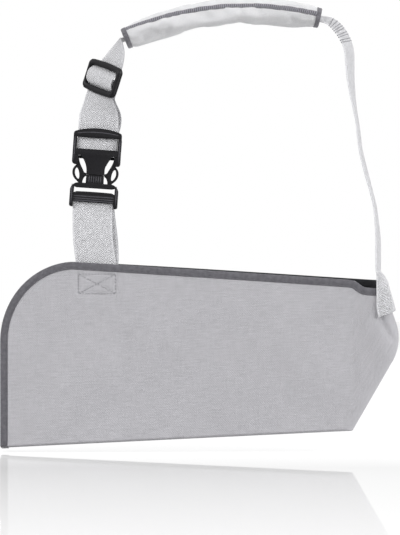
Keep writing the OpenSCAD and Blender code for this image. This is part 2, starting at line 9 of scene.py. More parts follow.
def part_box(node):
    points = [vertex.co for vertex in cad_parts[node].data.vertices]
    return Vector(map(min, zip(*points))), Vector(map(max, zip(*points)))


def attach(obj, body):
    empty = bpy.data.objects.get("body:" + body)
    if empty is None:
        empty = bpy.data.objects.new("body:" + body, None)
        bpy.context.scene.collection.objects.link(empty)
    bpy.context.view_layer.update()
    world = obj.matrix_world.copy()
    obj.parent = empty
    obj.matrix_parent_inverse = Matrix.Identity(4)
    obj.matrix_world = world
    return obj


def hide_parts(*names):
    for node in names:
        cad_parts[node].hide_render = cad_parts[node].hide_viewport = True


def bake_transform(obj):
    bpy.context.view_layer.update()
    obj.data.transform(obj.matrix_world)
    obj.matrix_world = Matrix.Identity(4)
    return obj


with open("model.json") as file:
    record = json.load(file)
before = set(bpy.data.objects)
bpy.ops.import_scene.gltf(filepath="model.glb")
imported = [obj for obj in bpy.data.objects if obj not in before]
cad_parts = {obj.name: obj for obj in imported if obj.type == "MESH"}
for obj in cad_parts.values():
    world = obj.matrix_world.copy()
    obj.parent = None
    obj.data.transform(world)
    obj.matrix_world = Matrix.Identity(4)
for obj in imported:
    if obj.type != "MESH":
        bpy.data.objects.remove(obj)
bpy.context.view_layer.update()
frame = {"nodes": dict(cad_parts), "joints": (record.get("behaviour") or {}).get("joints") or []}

MM = 0.001
joints = {j["name"]: j for j in frame["joints"]}

# ---- sizes, in mm, as the frame has them
LOW_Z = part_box("bottom_fold")[0].z / MM
HAND_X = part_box("bottom_fold")[0].x / MM
ELBOW_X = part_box("elbow_end")[1].x / MM
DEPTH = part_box("bottom_fold")[1].y / MM
TOP_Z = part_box("front_binding")[1].z / MM
CORNER_RX, CORNER_RZ = 75, 79
MOUTH_LEN, MOUTH_SLOPE, BOTTOM_SLOPE = 279, math.radians(3.75), math.radians(2.8)
ELBOW_R, ELBOW_Z, ELBOW_A0, ELBOW_A1, ELBOW_UP = 47.4, -311, math.radians(20), math.radians(-30), 43
CORNER_X, CORNER_Z = HAND_X + CORNER_RX, TOP_Z - CORNER_RZ
ELBOW_CX = ELBOW_X - ELBOW_R
MOUTH_X, MOUTH_Z = CORNER_X + MOUTH_LEN, TOP_Z - MOUTH_LEN * math.tan(MOUTH_SLOPE)
DIP = 7.5
CLOTH_T, BIND_W = 1.4, 7.2
WEB_W, WEB_T = 40, 1.5
PAD_R = 328

BUCKLE = Vector((-126, joints["pinch_left"]["pos_m"][1] / MM, -142))
SLIDER = Vector((-119, -13, -52))


def unit(v):
    return v.normalized()


def xz(x, z):
    return Vector((x, 0, z))


def along(name):
    return unit(Vector(joints[name]["axis"]))


BUCKLE_V = -along("buckle_release")
BUCKLE_U = unit(Vector((0, 1, 0)).cross(BUCKLE_V))
SLIDER_V = along("strap_adjust")
SLIDER_TURN = math.radians(45)


def slider_axes():
    """Directions across and through the slider, turned about the strap."""
    lean = Matrix.Rotation(math.atan2(SLIDER_V.x, SLIDER_V.z), 3, "Y")
    pitch = Matrix.Rotation(math.asin(-SLIDER_V.y), 3, "X")
    m = lean @ pitch @ Matrix.Rotation(-SLIDER_TURN, 3, "Z")
    return m @ Vector((1, 0, 0)), m @ Vector((0, 1, 0))


SLIDER_U, SLIDER_D = slider_axes()


def buckle_pt(u, d, v):
    return BUCKLE + BUCKLE_U * u + BUCKLE_V * v + Vector((0, d, 0))


def slider_pt(u, d, v):
    return SLIDER + SLIDER_U * u + SLIDER_D * d + SLIDER_V * v


# ---- materials
def srgb(*c):
    return tuple(((x / 255 + 0.055) / 1.055) ** 2.4 if x > 10 else x / 3295 for x in c) + (1.0,)


def assign(thing, **values):
    for key, value in values.items():
        setattr(thing, key, value)
    return thing


class Nodes:
    """Short way to build a material's node tree."""

    def __init__(self, name, **sockets):
        self.mat = bpy.data.materials.new(name)
        self.mat.use_nodes = True
        self.tree = self.mat.node_tree
        self.shader = self.tree.nodes["Principled BSDF"]
        for k, v in sockets.items():
            self.shader.inputs[k.replace("_", " ")].default_value = v

    def add(self, kind, *inputs, **named):
        """A new node's first output. Inputs come by place or by name, and settings by name."""
        n = self.tree.nodes.new("ShaderNode" + kind)
        for key, value in [*enumerate(inputs), *named.items()]:
            if isinstance(key, str) and key not in n.inputs:
                setattr(n, key, value)
            elif isinstance(value, bpy.types.NodeSocket):
                self.tree.links.new(value, n.inputs[key])
            else:
                n.inputs[key].default_value = value
        return n.outputs[0]

    def math(self, op, a, b=0.0, c=0.0):
        return self.add("Math", a, b, c, operation=op)

    def split(self, vector):
        return self.add("SeparateXYZ", vector).node.outputs

    def lay(self):
        """The cloth's own flat coordinates in mm: all of them, across, and along."""
        lay = self.add("Attribute", attribute_name="lay").node.outputs["Vector"]
        x, y, _ = self.split(lay)
        return lay, x, y

    def waves(self, run, pitch):
        return self.math("SINE", self.math("MULTIPLY", run, 2 * math.pi / pitch))

    def noise(self, vector, scale, detail=2.0, stretch=None):
        if stretch:
            vector = self.add("VectorMath", vector, stretch, operation="MULTIPLY")
        return self.add("TexNoise", Vector=vector, Scale=scale, Detail=detail)

    def ramp(self, factor, *stops):
        out = self.add("ValToRGB", factor)
        elements = out.node.color_ramp.elements
        while len(elements) < len(stops):
            elements.new(0.5)
        for e, (at, colour) in zip(elements, stops):
            assign(e, position=at, color=colour)
        return out

    def colour(self, socket):
        self.tree.links.new(socket, self.shader.inputs["Base Color"])

    def rough(self, socket):
        self.tree.links.new(socket, self.shader.inputs["Roughness"])

    def bump(self, height, distance):
        """Bump whose full height is distance, in mm."""
        bumped = self.add("Bump", Distance=distance * MM, Strength=1.0, Height=height)
        self.tree.links.new(bumped, self.shader.inputs["Normal"])


def shade(c, k):
    return tuple(x * k for x in c[:3]) + (1.0,)


def woven(name, colour, pitch, contrast, relief, slub=0.3, sheen=0.15):
    """Plain weave: threads over and under each other, with uneven slubs along both directions."""
    n = Nodes(name, Roughness=0.92, Specular_IOR_Level=0.2, Sheen_Weight=sheen, Sheen_Roughness=0.6)
    lay, x, y = n.lay()
    over = n.math("MULTIPLY", n.waves(x, 2 * pitch), n.waves(y, 2 * pitch))
    weave = n.math("MULTIPLY_ADD", over, 0.5, 0.5)
    slub_x = n.noise(lay, 1.0, 3.0, (0.08, 0.7, 1))
    slub_y = n.noise(lay, 1.0, 3.0, (0.6, 0.06, 1))
    cloud = n.noise(lay, 0.02, 3.0)
    slubs = n.math("MULTIPLY_ADD", slub_x, 1.35, n.math("MULTIPLY", slub_y, 0.65))
    mid = 0.5 - contrast / 2 - slub - 0.15
    uneven = n.math("MULTIPLY_ADD", slubs, slub, n.math("MULTIPLY_ADD", cloud, 0.3, mid))
    tone = n.math("MULTIPLY_ADD", weave, contrast, uneven)
    n.colour(n.ramp(tone, (0.2, shade(colour, 0.86)), (0.8, shade(colour, 1.14))))
    n.bump(n.math("MULTIPLY_ADD", slubs, 0.6, weave), relief)
    return n.mat


HERRING_PITCH, HERRING_COLUMN = 2.3, 4.6


def herringbone(name, colour):
    """Webbing: zigzag ribs in columns, a plain selvage along both edges, and painted shade as a thin
    dark line along one edge.
    """
    n = Nodes(name, Roughness=0.78, Specular_IOR_Level=0.3, Sheen_Weight=0.2, Sheen_Roughness=0.5)
    lay, x, y = n.lay()
    zig = n.math("ADD", y, n.math("PINGPONG", x, HERRING_COLUMN))
    wander = n.noise(lay, 0.08, 2.0)
    rib = n.waves(n.math("MULTIPLY_ADD", wander, 1.2, zig), HERRING_PITCH)
    ends = n.math("MULTIPLY_ADD", n.waves(x, 1.25), 0.3, rib)
    edge = n.math("GREATER_THAN", n.math("ABSOLUTE", x), WEB_W / 2 - 1.8)
    flat = n.math("MULTIPLY", ends, n.math("SUBTRACT", 1.0, n.math("MULTIPLY", edge, 0.7)))
    fuzz = n.noise(lay, 0.6, 3.0)
    # Painted shade: a thin darker line along one edge, where the strap's edge falls into shadow.
    shaded_edge = n.math("GREATER_THAN", x, WEB_W / 2 - 0.9)
    tone = n.math("MULTIPLY_ADD", flat, 0.3, n.math("SUBTRACT", fuzz, shaded_edge))
    n.colour(n.ramp(tone, (0.15, shade(colour, 0.66)), (0.5, colour), (0.85, shade(colour, 1.16))))
    n.bump(flat, 0.3)
    return n.mat


def ribbed_tape(name, colour):
    """Binding tape with fine cross ribs."""
    n = Nodes(name, Roughness=0.85, Specular_IOR_Level=0.25, Sheen_Weight=0.15, Sheen_Roughness=0.5)
    lay, _, y = n.lay()
    ribs = n.waves(y, 1.1)
    cloud = n.noise(lay, 0.25, 3.0)
    tone = n.math("MULTIPLY_ADD", ribs, 0.12, cloud)
    n.colour(n.ramp(tone, (0.3, shade(colour, 0.8)), (0.7, shade(colour, 1.2))))
    n.bump(ribs, 0.12)
    return n.mat


def thread(name, colour):
    """Twisted sewing thread."""
    n = Nodes(name, Roughness=0.6, Specular_IOR_Level=0.35, Sheen_Weight=0.2)
    _, x, y = n.lay()
    twist = n.waves(n.math("ADD", x, y), 0.7)
    tone = n.math("MULTIPLY_ADD", twist, 0.5, 0.5)
    n.colour(n.ramp(tone, (0.0, shade(colour, 0.82)), (1.0, shade(colour, 1.1))))
    n.bump(twist, 0.08)
    return n.mat


def knit(name, colour):
    """Brushed jersey on the shoulder pad: soft, with faint columns of stitches."""
    n = Nodes(name, Roughness=0.95, Specular_IOR_Level=0.15, Sheen_Weight=0.35, Sheen_Roughness=0.7)
    lay, x, y = n.lay()
    course = n.waves(n.math("ADD", y, n.math("PINGPONG", x, 0.65)), 1.1)
    loops = n.math("MULTIPLY", n.waves(x, 1.3), course)
    nap = n.noise(lay, 0.5, 4.0)
    cloud = n.noise(lay, 0.035, 2.0)
    soft = n.math("MULTIPLY_ADD", nap, 0.5, n.math("MULTIPLY", cloud, 0.6))
    tone = n.math("MULTIPLY_ADD", loops, 0.08, soft)
    n.colour(n.ramp(tone, (0.3, shade(colour, 0.92)), (0.8, shade(colour, 1.06))))
    n.bump(n.math("MULTIPLY_ADD", loops, 0.35, nap), 0.3)
    return n.mat


def moulded(name, colour):
    """Acetal moulding: satin, finely grained, a little polished by use."""
    n = Nodes(name, Roughness=0.4, Specular_IOR_Level=0.2)
    at = n.tree.nodes.new("ShaderNodeTexCoord").outputs["Object"]
    grain = n.noise(at, 2600, 3.0)
    wear = n.noise(at, 90, 3.0)
    n.colour(n.ramp(wear, (0.35, shade(colour, 0.85)), (0.7, shade(colour, 1.25))))
    n.rough(n.ramp(wear, (0.3, (0.36,) * 3 + (1,)), (0.7, (0.52,) * 3 + (1,))))
    n.bump(grain, 0.05)
    return n.mat


CLOTH = woven("pouch_cloth", srgb(172, 171, 175), 0.85, 0.25, 0.2, 0.6)
LINING = woven("pouch_lining", srgb(58, 58, 62), 0.8, 0.12, 0.12)
BINDING = ribbed_tape("binding_tape", srgb(98, 97, 102))
# The back tape is the same ribbed tape as the front, given a much darker grey: painted shade for the
# shadow it lies in.
BINDING_PAINTED_SHADE = ribbed_tape("binding_tape_painted_shade", srgb(40, 40, 43))
WEBBING = herringbone("webbing", srgb(211, 211, 214))
THREAD = thread("thread_light", srgb(150, 150, 154))
WEB_THREAD = thread("thread_webbing", srgb(226, 226, 228))
DARK_THREAD = thread("thread_dark", srgb(96, 96, 100))
TACK_THREAD = thread("thread_tacking", srgb(158, 158, 162))
SEAM = ribbed_tape("overlock_edge", srgb(120, 119, 125))
SEAM_THREAD = thread("overlock_thread", srgb(158, 157, 164))
KNIT = knit("pad_knit", srgb(221, 221, 223))
PLASTIC = moulded("buckle_plastic", srgb(12, 11, 15))
# Lighter plastic for the buckle's ribs and rails: painted highlight, standing in for the light their
# rounded edges catch.
HIGHLIGHT_PLASTIC = moulded("buckle_plastic_painted_highlight", srgb(70, 69, 74))


# ---- mesh helpers
def new_object(name, data):
    ob = bpy.data.objects.new(name, data)
    bpy.context.collection.objects.link(ob)
    return ob


def piece(name, verts, faces, body, slot, mats, lay=None, replaced=()):
    """Mesh object from points in mm. lay holds each point's flat cloth coordinates, also in mm."""
    me = bpy.data.meshes.new(name)
    me.from_pydata([tuple(Vector(v) * MM) for v in verts], [], faces)
    for m in mats:
        me.materials.append(m)
    me.polygons.foreach_set("use_smooth", [True] * len(me.polygons))
    at = me.attributes.new("lay", "FLOAT_VECTOR", "POINT")
    at.data.foreach_set("vector", [c for v in lay or verts for c in v])
    me.validate()
    me.update()
    ob = new_object(name, me)
    if body:
        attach(ob, body)
    if replaced:
        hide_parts(*replaced)
    return ob


def bake_modifiers(ob):
    """Replaces an object's mesh with what its modifiers make of it."""
    deps = bpy.context.evaluated_depsgraph_get()
    me = bpy.data.meshes.new_from_object(ob.evaluated_get(deps), depsgraph=deps)
    ob.modifiers.clear()
    old = ob.data
    ob.data = me
    bpy.data.meshes.remove(old)


def circle(n):
    """Angles of n points round a circle."""
    return [2 * math.pi * k / n for k in range(n)]


def oval(centre, side, up, n=12):
    return [centre + side * math.cos(a) + up * math.sin(a) for a in circle(n)]


def power(x, k):
    """x to the power k, with the sign of x."""
    return math.copysign(abs(x) ** k, x)


def bell(x):
    return math.exp(-x * x)


def clamp(x, low, high):
    return min(max(x, low), high)


def tube(rings, closed=False):
    """Points and faces of a tube through equal rings, with end caps unless it is closed."""
    m = len(rings[0])
    verts = [p for r in rings for p in r]
    faces = []
    last = len(rings) if closed else len(rings) - 1
    for i in range(last):
        a, b = i * m, (i + 1) % len(rings) * m
        faces += [(a + k, a + (k + 1) % m, b + (k + 1) % m, b + k) for k in range(m)]
    if not closed:
        faces.append(tuple(range(m))[::-1])
        faces.append(tuple(range(len(verts) - m, len(verts))))
    return verts, faces


def join(parts):
    """One mesh from several (points, faces)."""
    verts, faces = [], []
    for v, f in parts:
        base = len(verts)
        verts += v
        faces += [tuple(base + i for i in q) for q in f]
    return verts, faces


def smooth_step(t):
    t = clamp(t, 0.0, 1.0)
    return t * t * (3 - 2 * t)


def bezier(p, t):
    q = 1 - t
    return p[0] * q ** 3 + p[1] * 3 * t * q ** 2 + p[2] * 3 * t * t * q + p[3] * t ** 3


def curve(p, w0, w1, n, first=0):
    """Stations along a Bezier curve: place and width direction, which turns smoothly."""
    out = []
    for i in range(first, n + 1):
        k = (1 - math.cos(math.pi * i / n)) / 2
        out.append((bezier(p, i / n), unit(w0.lerp(w1, k))))
    return out


def tangent(pts, i):
    return unit(pts[min(i + 1, len(pts) - 1)] - pts[max(i - 1, 0)])


def length_of(pts):
    return sum((b - a).length for a, b in zip(pts, pts[1:]))


def frames(stations):
    """Place, side direction and face direction at each station."""
    out = []
    places = [p for p, _ in stations]
    for i, (p, w) in enumerate(stations):
        t = tangent(places, i)
        f = unit(t.cross(w))
        out.append((p, unit(f.cross(t)), f))
    return out


SPAN = 16
ACROSS_U = [-power(math.cos(math.pi * i / SPAN), 0.65) for i in range(SPAN + 1)]
UNEVEN = 0.15


def band(name, grid, body, replaced, width=WEB_W):
    """Webbing on a grid of points: a row of them across it at each station along it."""
    rings, lay, run = [], [], 0.0
    last = len(grid) - 1
    mid = SPAN // 2
    for i, row in enumerate(grid):
        run += (row[mid] - grid[i - 1][mid]).length if i else 0.0
        face, back = [], []
        for j, p in enumerate(row):
            t = grid[min(i + 1, last)][j] - grid[max(i - 1, 0)][j]
            s = row[min(j + 1, SPAN)] - row[max(j - 1, 0)]
            n = unit(t.cross(s))
            u = ACROSS_U[j]
            h = WEB_T / 2 * math.sqrt(max(1 - abs(u) ** 12, 0.0))
            sway = UNEVEN * noise.noise(Vector((u * width / 28, run / 18, width)))
            face.append((p + n * (sway + h), (u * width / 2, run, h)))
            back.append((p + n * (sway - h), (u * width / 2, run, -h)))
        ring = face + back[-2:0:-1]
        rings.append([p for p, _ in ring])
        lay += [c for _, c in ring]
    return piece(name, *tube(rings), body, "webbing", [WEBBING], lay, replaced)


def flat_rows(stations, width=WEB_W):
    return [[p + side * (u * width / 2) for u in ACROSS_U] for p, side, _ in frames(stations)]


def ribbon(name, stations, body, replaced, width=WEB_W):
    return band(name, flat_rows(stations, width), body, replaced, width)


WEB_STEP = 1.6


def dense(stations, step=WEB_STEP):
    """Stations resampled to even short steps."""
    out = [stations[0]]
    for (p, w), (q, x) in zip(stations, stations[1:]):
        n = max(1, round((q - p).length / step))
        out += [(p.lerp(q, i / n), unit(w.lerp(x, i / n))) for i in range(1, n + 1)]
    return out


def smooth_path(points, rounds=2):
    """Corner-cutting: softens a route without moving its ends."""
    for _ in range(rounds):
        cut = [points[0]]
        for (p, w), (q, x) in zip(points, points[1:]):
            cut.append((p.lerp(q, 0.25), unit(w.lerp(x, 0.25))))
            cut.append((p.lerp(q, 0.75), unit(w.lerp(x, 0.75))))
        cut.append(points[-1])
        points = cut
    return points


def stitches(name, runs, body, replaced, mat, length=2.6, gap=0.9, r=0.38, sink=0.12):
    """Rows of short thread stitches of radius r. Each run is (points, face direction)."""
    profile = ((0, 0.35, -0.6), (0.2, 0.9, 0.2), (0.5, 1, 0.5), (0.8, 0.9, 0.2), (1, 0.35, -0.6))
    parts = []
    for pts, face in runs:
        total = length_of(pts)
        count = max(1, round(total / (length + gap)))
        pitch = total / count
        for k in range(count):
            spots = [travel(pts, pitch * k + gap / 2 + s * (pitch - gap)) for s, _, _ in profile]
            side = unit(face.cross(unit(spots[-1] - spots[0])))
            rings = []
            for spot, (_, grow, lift) in zip(spots, profile):
                c = spot + face * (r * lift - sink)
                rings.append(oval(c, side * (r * grow), face * (r * grow), 6))
            parts.append(tube(rings))
    piece(name, *join(parts), body, "thread", [mat], replaced=replaced)


def travel(pts, s):
    """The point at distance s along a polyline."""
    for a, b in zip(pts, pts[1:]):
        d = (b - a).length
        if s <= d:
            return a.lerp(b, s / d if d else 0)
        s -= d
    return pts[-1]


def even_points(pts, step, least=1):
    total = length_of(pts)
    n = max(least, round(total / step))
    return [travel(pts, total * i / n) for i in range(n + 1)]


# ---- pouch
def side_arc(cx, cz, rx, rz, a0, a1, n):
    return [xz(cx + rx * math.cos(a), cz + rz * math.sin(a))
            for a in [a0 + (a1 - a0) * i / n for i in range(n + 1)]]


def elbow_at(a, reach):
    """Point at angle a round the elbow, then along the tangent there by reach."""
    return Vector((ELBOW_CX + ELBOW_R * math.cos(a) - reach * math.sin(a), 0,
                   ELBOW_Z + ELBOW_R * math.sin(a) + reach * math.cos(a)))


def bottom_z(x):
    return LOW_Z + (x - HAND_X) * math.tan(BOTTOM_SLOPE)


ELBOW_TOP = elbow_at(ELBOW_A0, ELBOW_UP)
BACK_RISE = 1.2


def mouth_line(front):
    """The pouch's free edge, from the low hand corner round to the elbow."""
    corner = side_arc(CORNER_X, CORNER_Z, CORNER_RX, CORNER_RZ, math.pi,
                      math.pi / 2 + MOUTH_SLOPE / 2, 26)
    slope = math.tan(MOUTH_SLOPE)
    if front:
        mouth = [(MOUTH_X - 8, MOUTH_Z + 0.5), (MOUTH_X - 0.5, MOUTH_Z - 0.8),
                 (MOUTH_X + 6.5, MOUTH_Z - DIP + 0.8), (MOUTH_X + 11, MOUTH_Z - DIP - 0.3),
                 (ELBOW_TOP.x + 2.4, MOUTH_Z - DIP - 0.8)]
    else:
        mouth = [(CORNER_X + 60, TOP_Z - 60 * slope + BACK_RISE * 0.6),
                 (CORNER_X + 140, TOP_Z - 140 * slope + BACK_RISE),
                 (MOUTH_X, MOUTH_Z + BACK_RISE), (ELBOW_TOP.x - 1, MOUTH_Z - 0.4)]
    return [xz(HAND_X, LOW_Z), xz(HAND_X, LOW_Z + 50)] + corner + [xz(*p) for p in mouth]


def elbow_line():
    """The sewn end, from the elbow's top corner down to the heel."""
    low = elbow_at(ELBOW_A1, -80)
    return [ELBOW_TOP] + side_arc(ELBOW_CX, ELBOW_Z, ELBOW_R, ELBOW_R, ELBOW_A0, ELBOW_A1, 20) + [low]


def column(poly, x):
    """Lowest and highest point of a closed outline at x."""
    zs = []
    for a, b in zip(poly, poly[1:] + poly[:1]):
        if min(a.x, b.x) <= x <= max(a.x, b.x) and abs(b.x - a.x) > 1e-9:
            zs.append(a.z + (b.z - a.z) * (x - a.x) / (b.x - a.x))
    return min(zs), max(zs)


def line_distance(p, pts):
    best = 1e9
    for a, b in zip(pts, pts[1:]):
        d = b - a
        t = clamp((p - a).dot(d) / d.length_squared, 0, 1)
        best = min(best, (p - a - d * t).length)
    return best


ELBOW_LINE = elbow_line()
STRAP_X = -124.6
BOX = (STRAP_X - 18.5, STRAP_X + 18.5, -266.5, -247.0)
BOX_LINES = [[xz(BOX[a], BOX[b]), xz(BOX[c], BOX[d])]
             for a, b, c, d in ((0, 2, 1, 2), (1, 2, 1, 3), (1, 3, 0, 3), (0, 3, 0, 2),
                                (0, 3, 1, 2), (0, 2, 1, 3))]
SEWN_DEEP, SEWN_WIDE, BOX_RISE = 0.8, 1.4, 0.35
# Soft creases in the cloth: line, depth and half-width
CREASES = [((157, -291), (170, -312), 2.0, 4.0), ((150, -300), (160, -328), -0.8, 7),
           ((169.5, -286), (173.5, -318), 0.5, 1.6), ((165, -284), (169, -306), -0.35, 1.8),
           ((163, -270), (150, -300), 0.5, 5), ((60, -262), (95, -272), 0.35, 9),
           ((-215, -360), (-150, -300), 0.5, 22), ((-60, -410), (60, -330), -0.5, 26)]


BOTTOM_FOLD, END_FOLD, CORNER_MIX = DEPTH * 0.22, DEPTH * 0.9, 0.25


def cloth_depth(x, z, front):
    """How far the cloth's outer face stands from the pouch's middle plane."""
    p = xz(x, z)
    low = max(z - bottom_z(x), 0.0) / BOTTOM_FOLD
    end = line_distance(p, ELBOW_LINE) / END_FOLD if x > ELBOW_CX - 40 else 9.0
    near = min(low, end)
    if max(low, end) < 2.5:
        h = max(CORNER_MIX - abs(low - end), 0) / CORNER_MIX
        near -= h * h * CORNER_MIX / 4
    near = clamp(near, 0.0, 1.0)
    y = DEPTH * math.sqrt(max(1 - (1 - near) ** 2, 0))
    free = smooth_step(near)
    seed = 0.0 if front else 40.0
    y += free * 0.9 * noise.noise(Vector((x / 85, seed, z / 60)))
    y += free * 0.28 * noise.noise(Vector((x / 22, seed + 9, z / 26)))
    if front:
        for (x0, z0), (x1, z1), deep, wide in CREASES:
            away = line_distance(p, [xz(x0, z0), xz(x1, z1)])
            y -= free * deep * bell(away / wide)
        if BOX[0] - 8 < x < BOX[1] + 8 and z > BOX[2] - 8:
            sewn = min(line_distance(p, l) for l in BOX_LINES)
            y -= SEWN_DEEP * bell(sewn / SEWN_WIDE)
            if BOX[0] < x < BOX[1] and z > BOX[2]:
                y += BOX_RISE
    return y


def cloth_pt(x, z, front, rise=0.0):
    y = cloth_depth(x, z, front) + rise
    return Vector((x, -y if front else y, z))


def cloth_normal(x, z, front):
    e = 0.6
    dx = cloth_pt(x + e, z, front) - cloth_pt(x - e, z, front)
    dz = cloth_pt(x, z + e, front) - cloth_pt(x, z - e, front)
    n = unit(dx.cross(dz))
    return n if (n.y < 0) == front else -n


BOTTOM_LEN = 350
COLUMNS, ROWS = 250, 104


def pouch_sheet(name, front, replaced):
    """One cloth of the pouch, in columns that crowd at both ends and rows that crowd below."""
    poly = mouth_line(front) + ELBOW_LINE[1 if front else 0:]
    x0, x1 = HAND_X + 0.02, ELBOW_X - 0.05
    xs = []
    for i in range(COLUMNS + 1):
        t = i / COLUMNS
        ease = 0.5 - 0.5 * math.cos(math.pi * t)
        xs.append(x0 + (x1 - x0) * (0.62 * t + 0.38 * ease))
    xs[1:1] = [x0 + s for s in (0.15, 0.6)]
    xs[-1:-1] = [x1 - s for s in (0.5, 0.12)]
    if front:
        xs = sorted(xs + [x + s for x in BOX[:2] for s in (-1.1, -0.02, 1.1)])
    verts, lay = [], []
    for x in xs:
        lo, hi = column(poly, x)
        for j in range(ROWS + 1):
            t = j / ROWS
            z = lo + (hi - lo) * (t ** 1.5 * 0.75 + t * 0.25)
            verts.append(cloth_pt(x, z, front))
            lay.append((x, z - lo, 0))
    m = ROWS + 1
    outer = []
    for i in range(len(xs) - 1):
        for j in range(ROWS):
            a = i * m + j
            q = (a, a + m, a + m + 1, a + 1)
            outer.append(q if front else q[::-1])
    ob = piece(name, verts, outer, None, "cloth", [CLOTH, LINING], lay)
    assign(ob.modifiers.new("thick", "SOLIDIFY"), thickness=CLOTH_T * MM, offset=-1,
           material_offset=1, material_offset_rim=0, use_even_offset=False)
    bake_modifiers(ob)
    area = sum((a.x * b.z - b.x * a.z) for a, b in zip(poly, poly[1:] + poly[:1])) / 2
    seam = BOTTOM_LEN + length_of(ELBOW_LINE)
    area = (abs(area) + seam * DEPTH * (math.pi / 2 - 1)) * MM * MM
    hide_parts(*replaced)
    return ob


def inward(pts, i):
    t = tangent(pts, i)
    return xz(t.z, -t.x)


def edge_path(front):
    """Even stations along the free edge: place and inward direction."""
    edge = smooth_path([(p, Vector((0, 0, 1))) for p in mouth_line(front)], 2)
    even = even_points([p for p, _ in edge], 2.5)
    return [(p, inward(even, i)) for i, p in enumerate(even)]


def end_seam():
    """Closed seam between the two cloths down the elbow end."""
    rings, lay, step = [], [], 1.9
    line = [travel(ELBOW_LINE, 1 + i * step) for i in range(56)]
    for i, p in enumerate(line):
        into = inward(line, i)
        rings.append(oval(p + into * 0.95, into * -0.9, Vector((0, 1.5, 0)), 10))
        lay += [(k * 0.5, i * step, 0) for k in range(10)]
    piece("elbow_seam", *tube(rings), "root", "cloth", [CLOTH], lay)


def binding(name, front, mat, replaced):
    """Tape folded over the cloth's edge, with a stitched line sunk along it."""
    w, t, c = BIND_W, 0.65, CLOTH_T
    edge, groove = [(w, 0.05), (w - 0.25, t * 0.8), (w - 0.9, t)], [(w - 1.5, t * 0.45), (w - 2.1, t)]
    fold = [(w * 0.4, t * 1.25), (0.9, t * 1.1), (0.1, t * 0.55), (-0.35, -0.2)]
    behind = [(d, -c - h) for d, h in (edge + fold)[::-1]]
    profile = edge + groove + fold + [(-0.45, -c / 2)] + behind
    rings, lay, run, last = [], [], 0.0, None
    for p, into in edge_path(front):
        run += (p - last).length if last else 0.0
        last = p
        ring = []
        for k, (d, h) in enumerate(profile):
            x, z = p.x + into.x * d, p.z + into.z * d
            pucker = 0.12 * math.sin(run * 2 * math.pi / 7.5 + k) * (0.4 < d < w)
            pt = cloth_pt(x, z, front) + cloth_normal(x, z, front) * (h + pucker)
            pt.x = max(pt.x, HAND_X - 0.6)
            ring.append(pt)
            lay.append((d + abs(h), run, 0))
        rings.append(ring)
    return piece(name, *tube(rings), None, "binding", [mat], lay, replaced)


def cloth_runs(lines, front, rise, step=1.5):
    """Lines of stitching laid on the cloth, as stitches() takes them."""
    runs = []
    for line in lines:
        pts = even_points(line, step, 2)
        mid = pts[(len(pts) - 1) // 2]
        runs.append(([cloth_pt(p.x, p.z, front, rise) for p in pts], cloth_normal(mid.x, mid.z, front)))
    return runs


def open_with_mouth(ob):
    """Bakes the cloth's placement into its mesh."""
    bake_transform(ob)


front_cloth = pouch_sheet("front_cloth", True, ["front_panel", "bottom_fold", "elbow_end"])
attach(front_cloth, "root")
back_cloth = pouch_sheet("back_cloth", False, ["back_panel", "mouth_flap"])
open_with_mouth(back_cloth)
end_seam()
front_tape = binding("front_tape", True, BINDING, ["front_binding"])
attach(front_tape, "root")
# The back tape's darker grey is painted shade.
back_tape = binding("back_tape", False, BINDING_PAINTED_SHADE, ["back_binding", "flap_binding"])
open_with_mouth(back_tape)

stitches("box_stitching", cloth_runs(BOX_LINES, True, 0.4), "root", ["box_stitch"], THREAD,
         length=2.3, gap=0.8, r=0.36)


def tape_seam(front, inset, rise):
    pts = [p + n * inset for p, n in edge_path(front)]
    return cloth_runs([pts[i:i + 9] for i in range(4, len(pts) - 9, 8)], front, rise, 2.0)


stitches("front_tape_stitching", tape_seam(True, BIND_W - 1.5, 0.35), "root", [], DARK_THREAD,
         gap=0.8, r=0.26, sink=0.05)


# ---- webbing
Y_OUT = Vector((0, -1, 0))
FACE_Y = -10.3
LOOP_R = 3.1


def loop_round(centre, a0, a1, n=10):
    """Webbing bent round a bar of the buckle, from angle a0 to a1 in degrees."""
    d = unit(BUCKLE_U.cross(BUCKLE_V))
    return [(centre + (d * math.cos(a) + BUCKLE_V * math.sin(a)) * LOOP_R, BUCKLE_U)
            for a in [math.radians(a0 + (a1 - a0) * i / n) for i in range(n + 1)]]


def flat_path(*at):
    """Stations of webbing that faces the front."""
    return smooth_path([(Vector(p), Vector((1, 0, 0))) for p in at])


male_bar = buckle_pt(0, 1.2, -29.5)
female_bar = buckle_pt(0, 1.2, 16.5)

# Lower strap: up behind, round the male half's bar and down in front
path = flat_path((STRAP_X + 0.6, -8.4, -268), (STRAP_X + 0.8, -8.4, -242), (STRAP_X + 1.6, -7.6, -228),
                 (STRAP_X + 0.6, -6.2, -212), (-126.2, -5.2, -196), (-127.6, -4.2, -183))
path += loop_round(male_bar, 180, 0)
path += flat_path((-129.0, FACE_Y - 0.2, -184), (-129.2, FACE_Y - 0.9, -200),
                  (-128.4, FACE_Y - 0.9, -216), (-126.4, FACE_Y - 0.2, -230),
                  (STRAP_X, FACE_Y, -243), (STRAP_X, FACE_Y, -268))
lower = ribbon("lower_webbing", dense(path), None, ["lower_strap"])
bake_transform(lower)

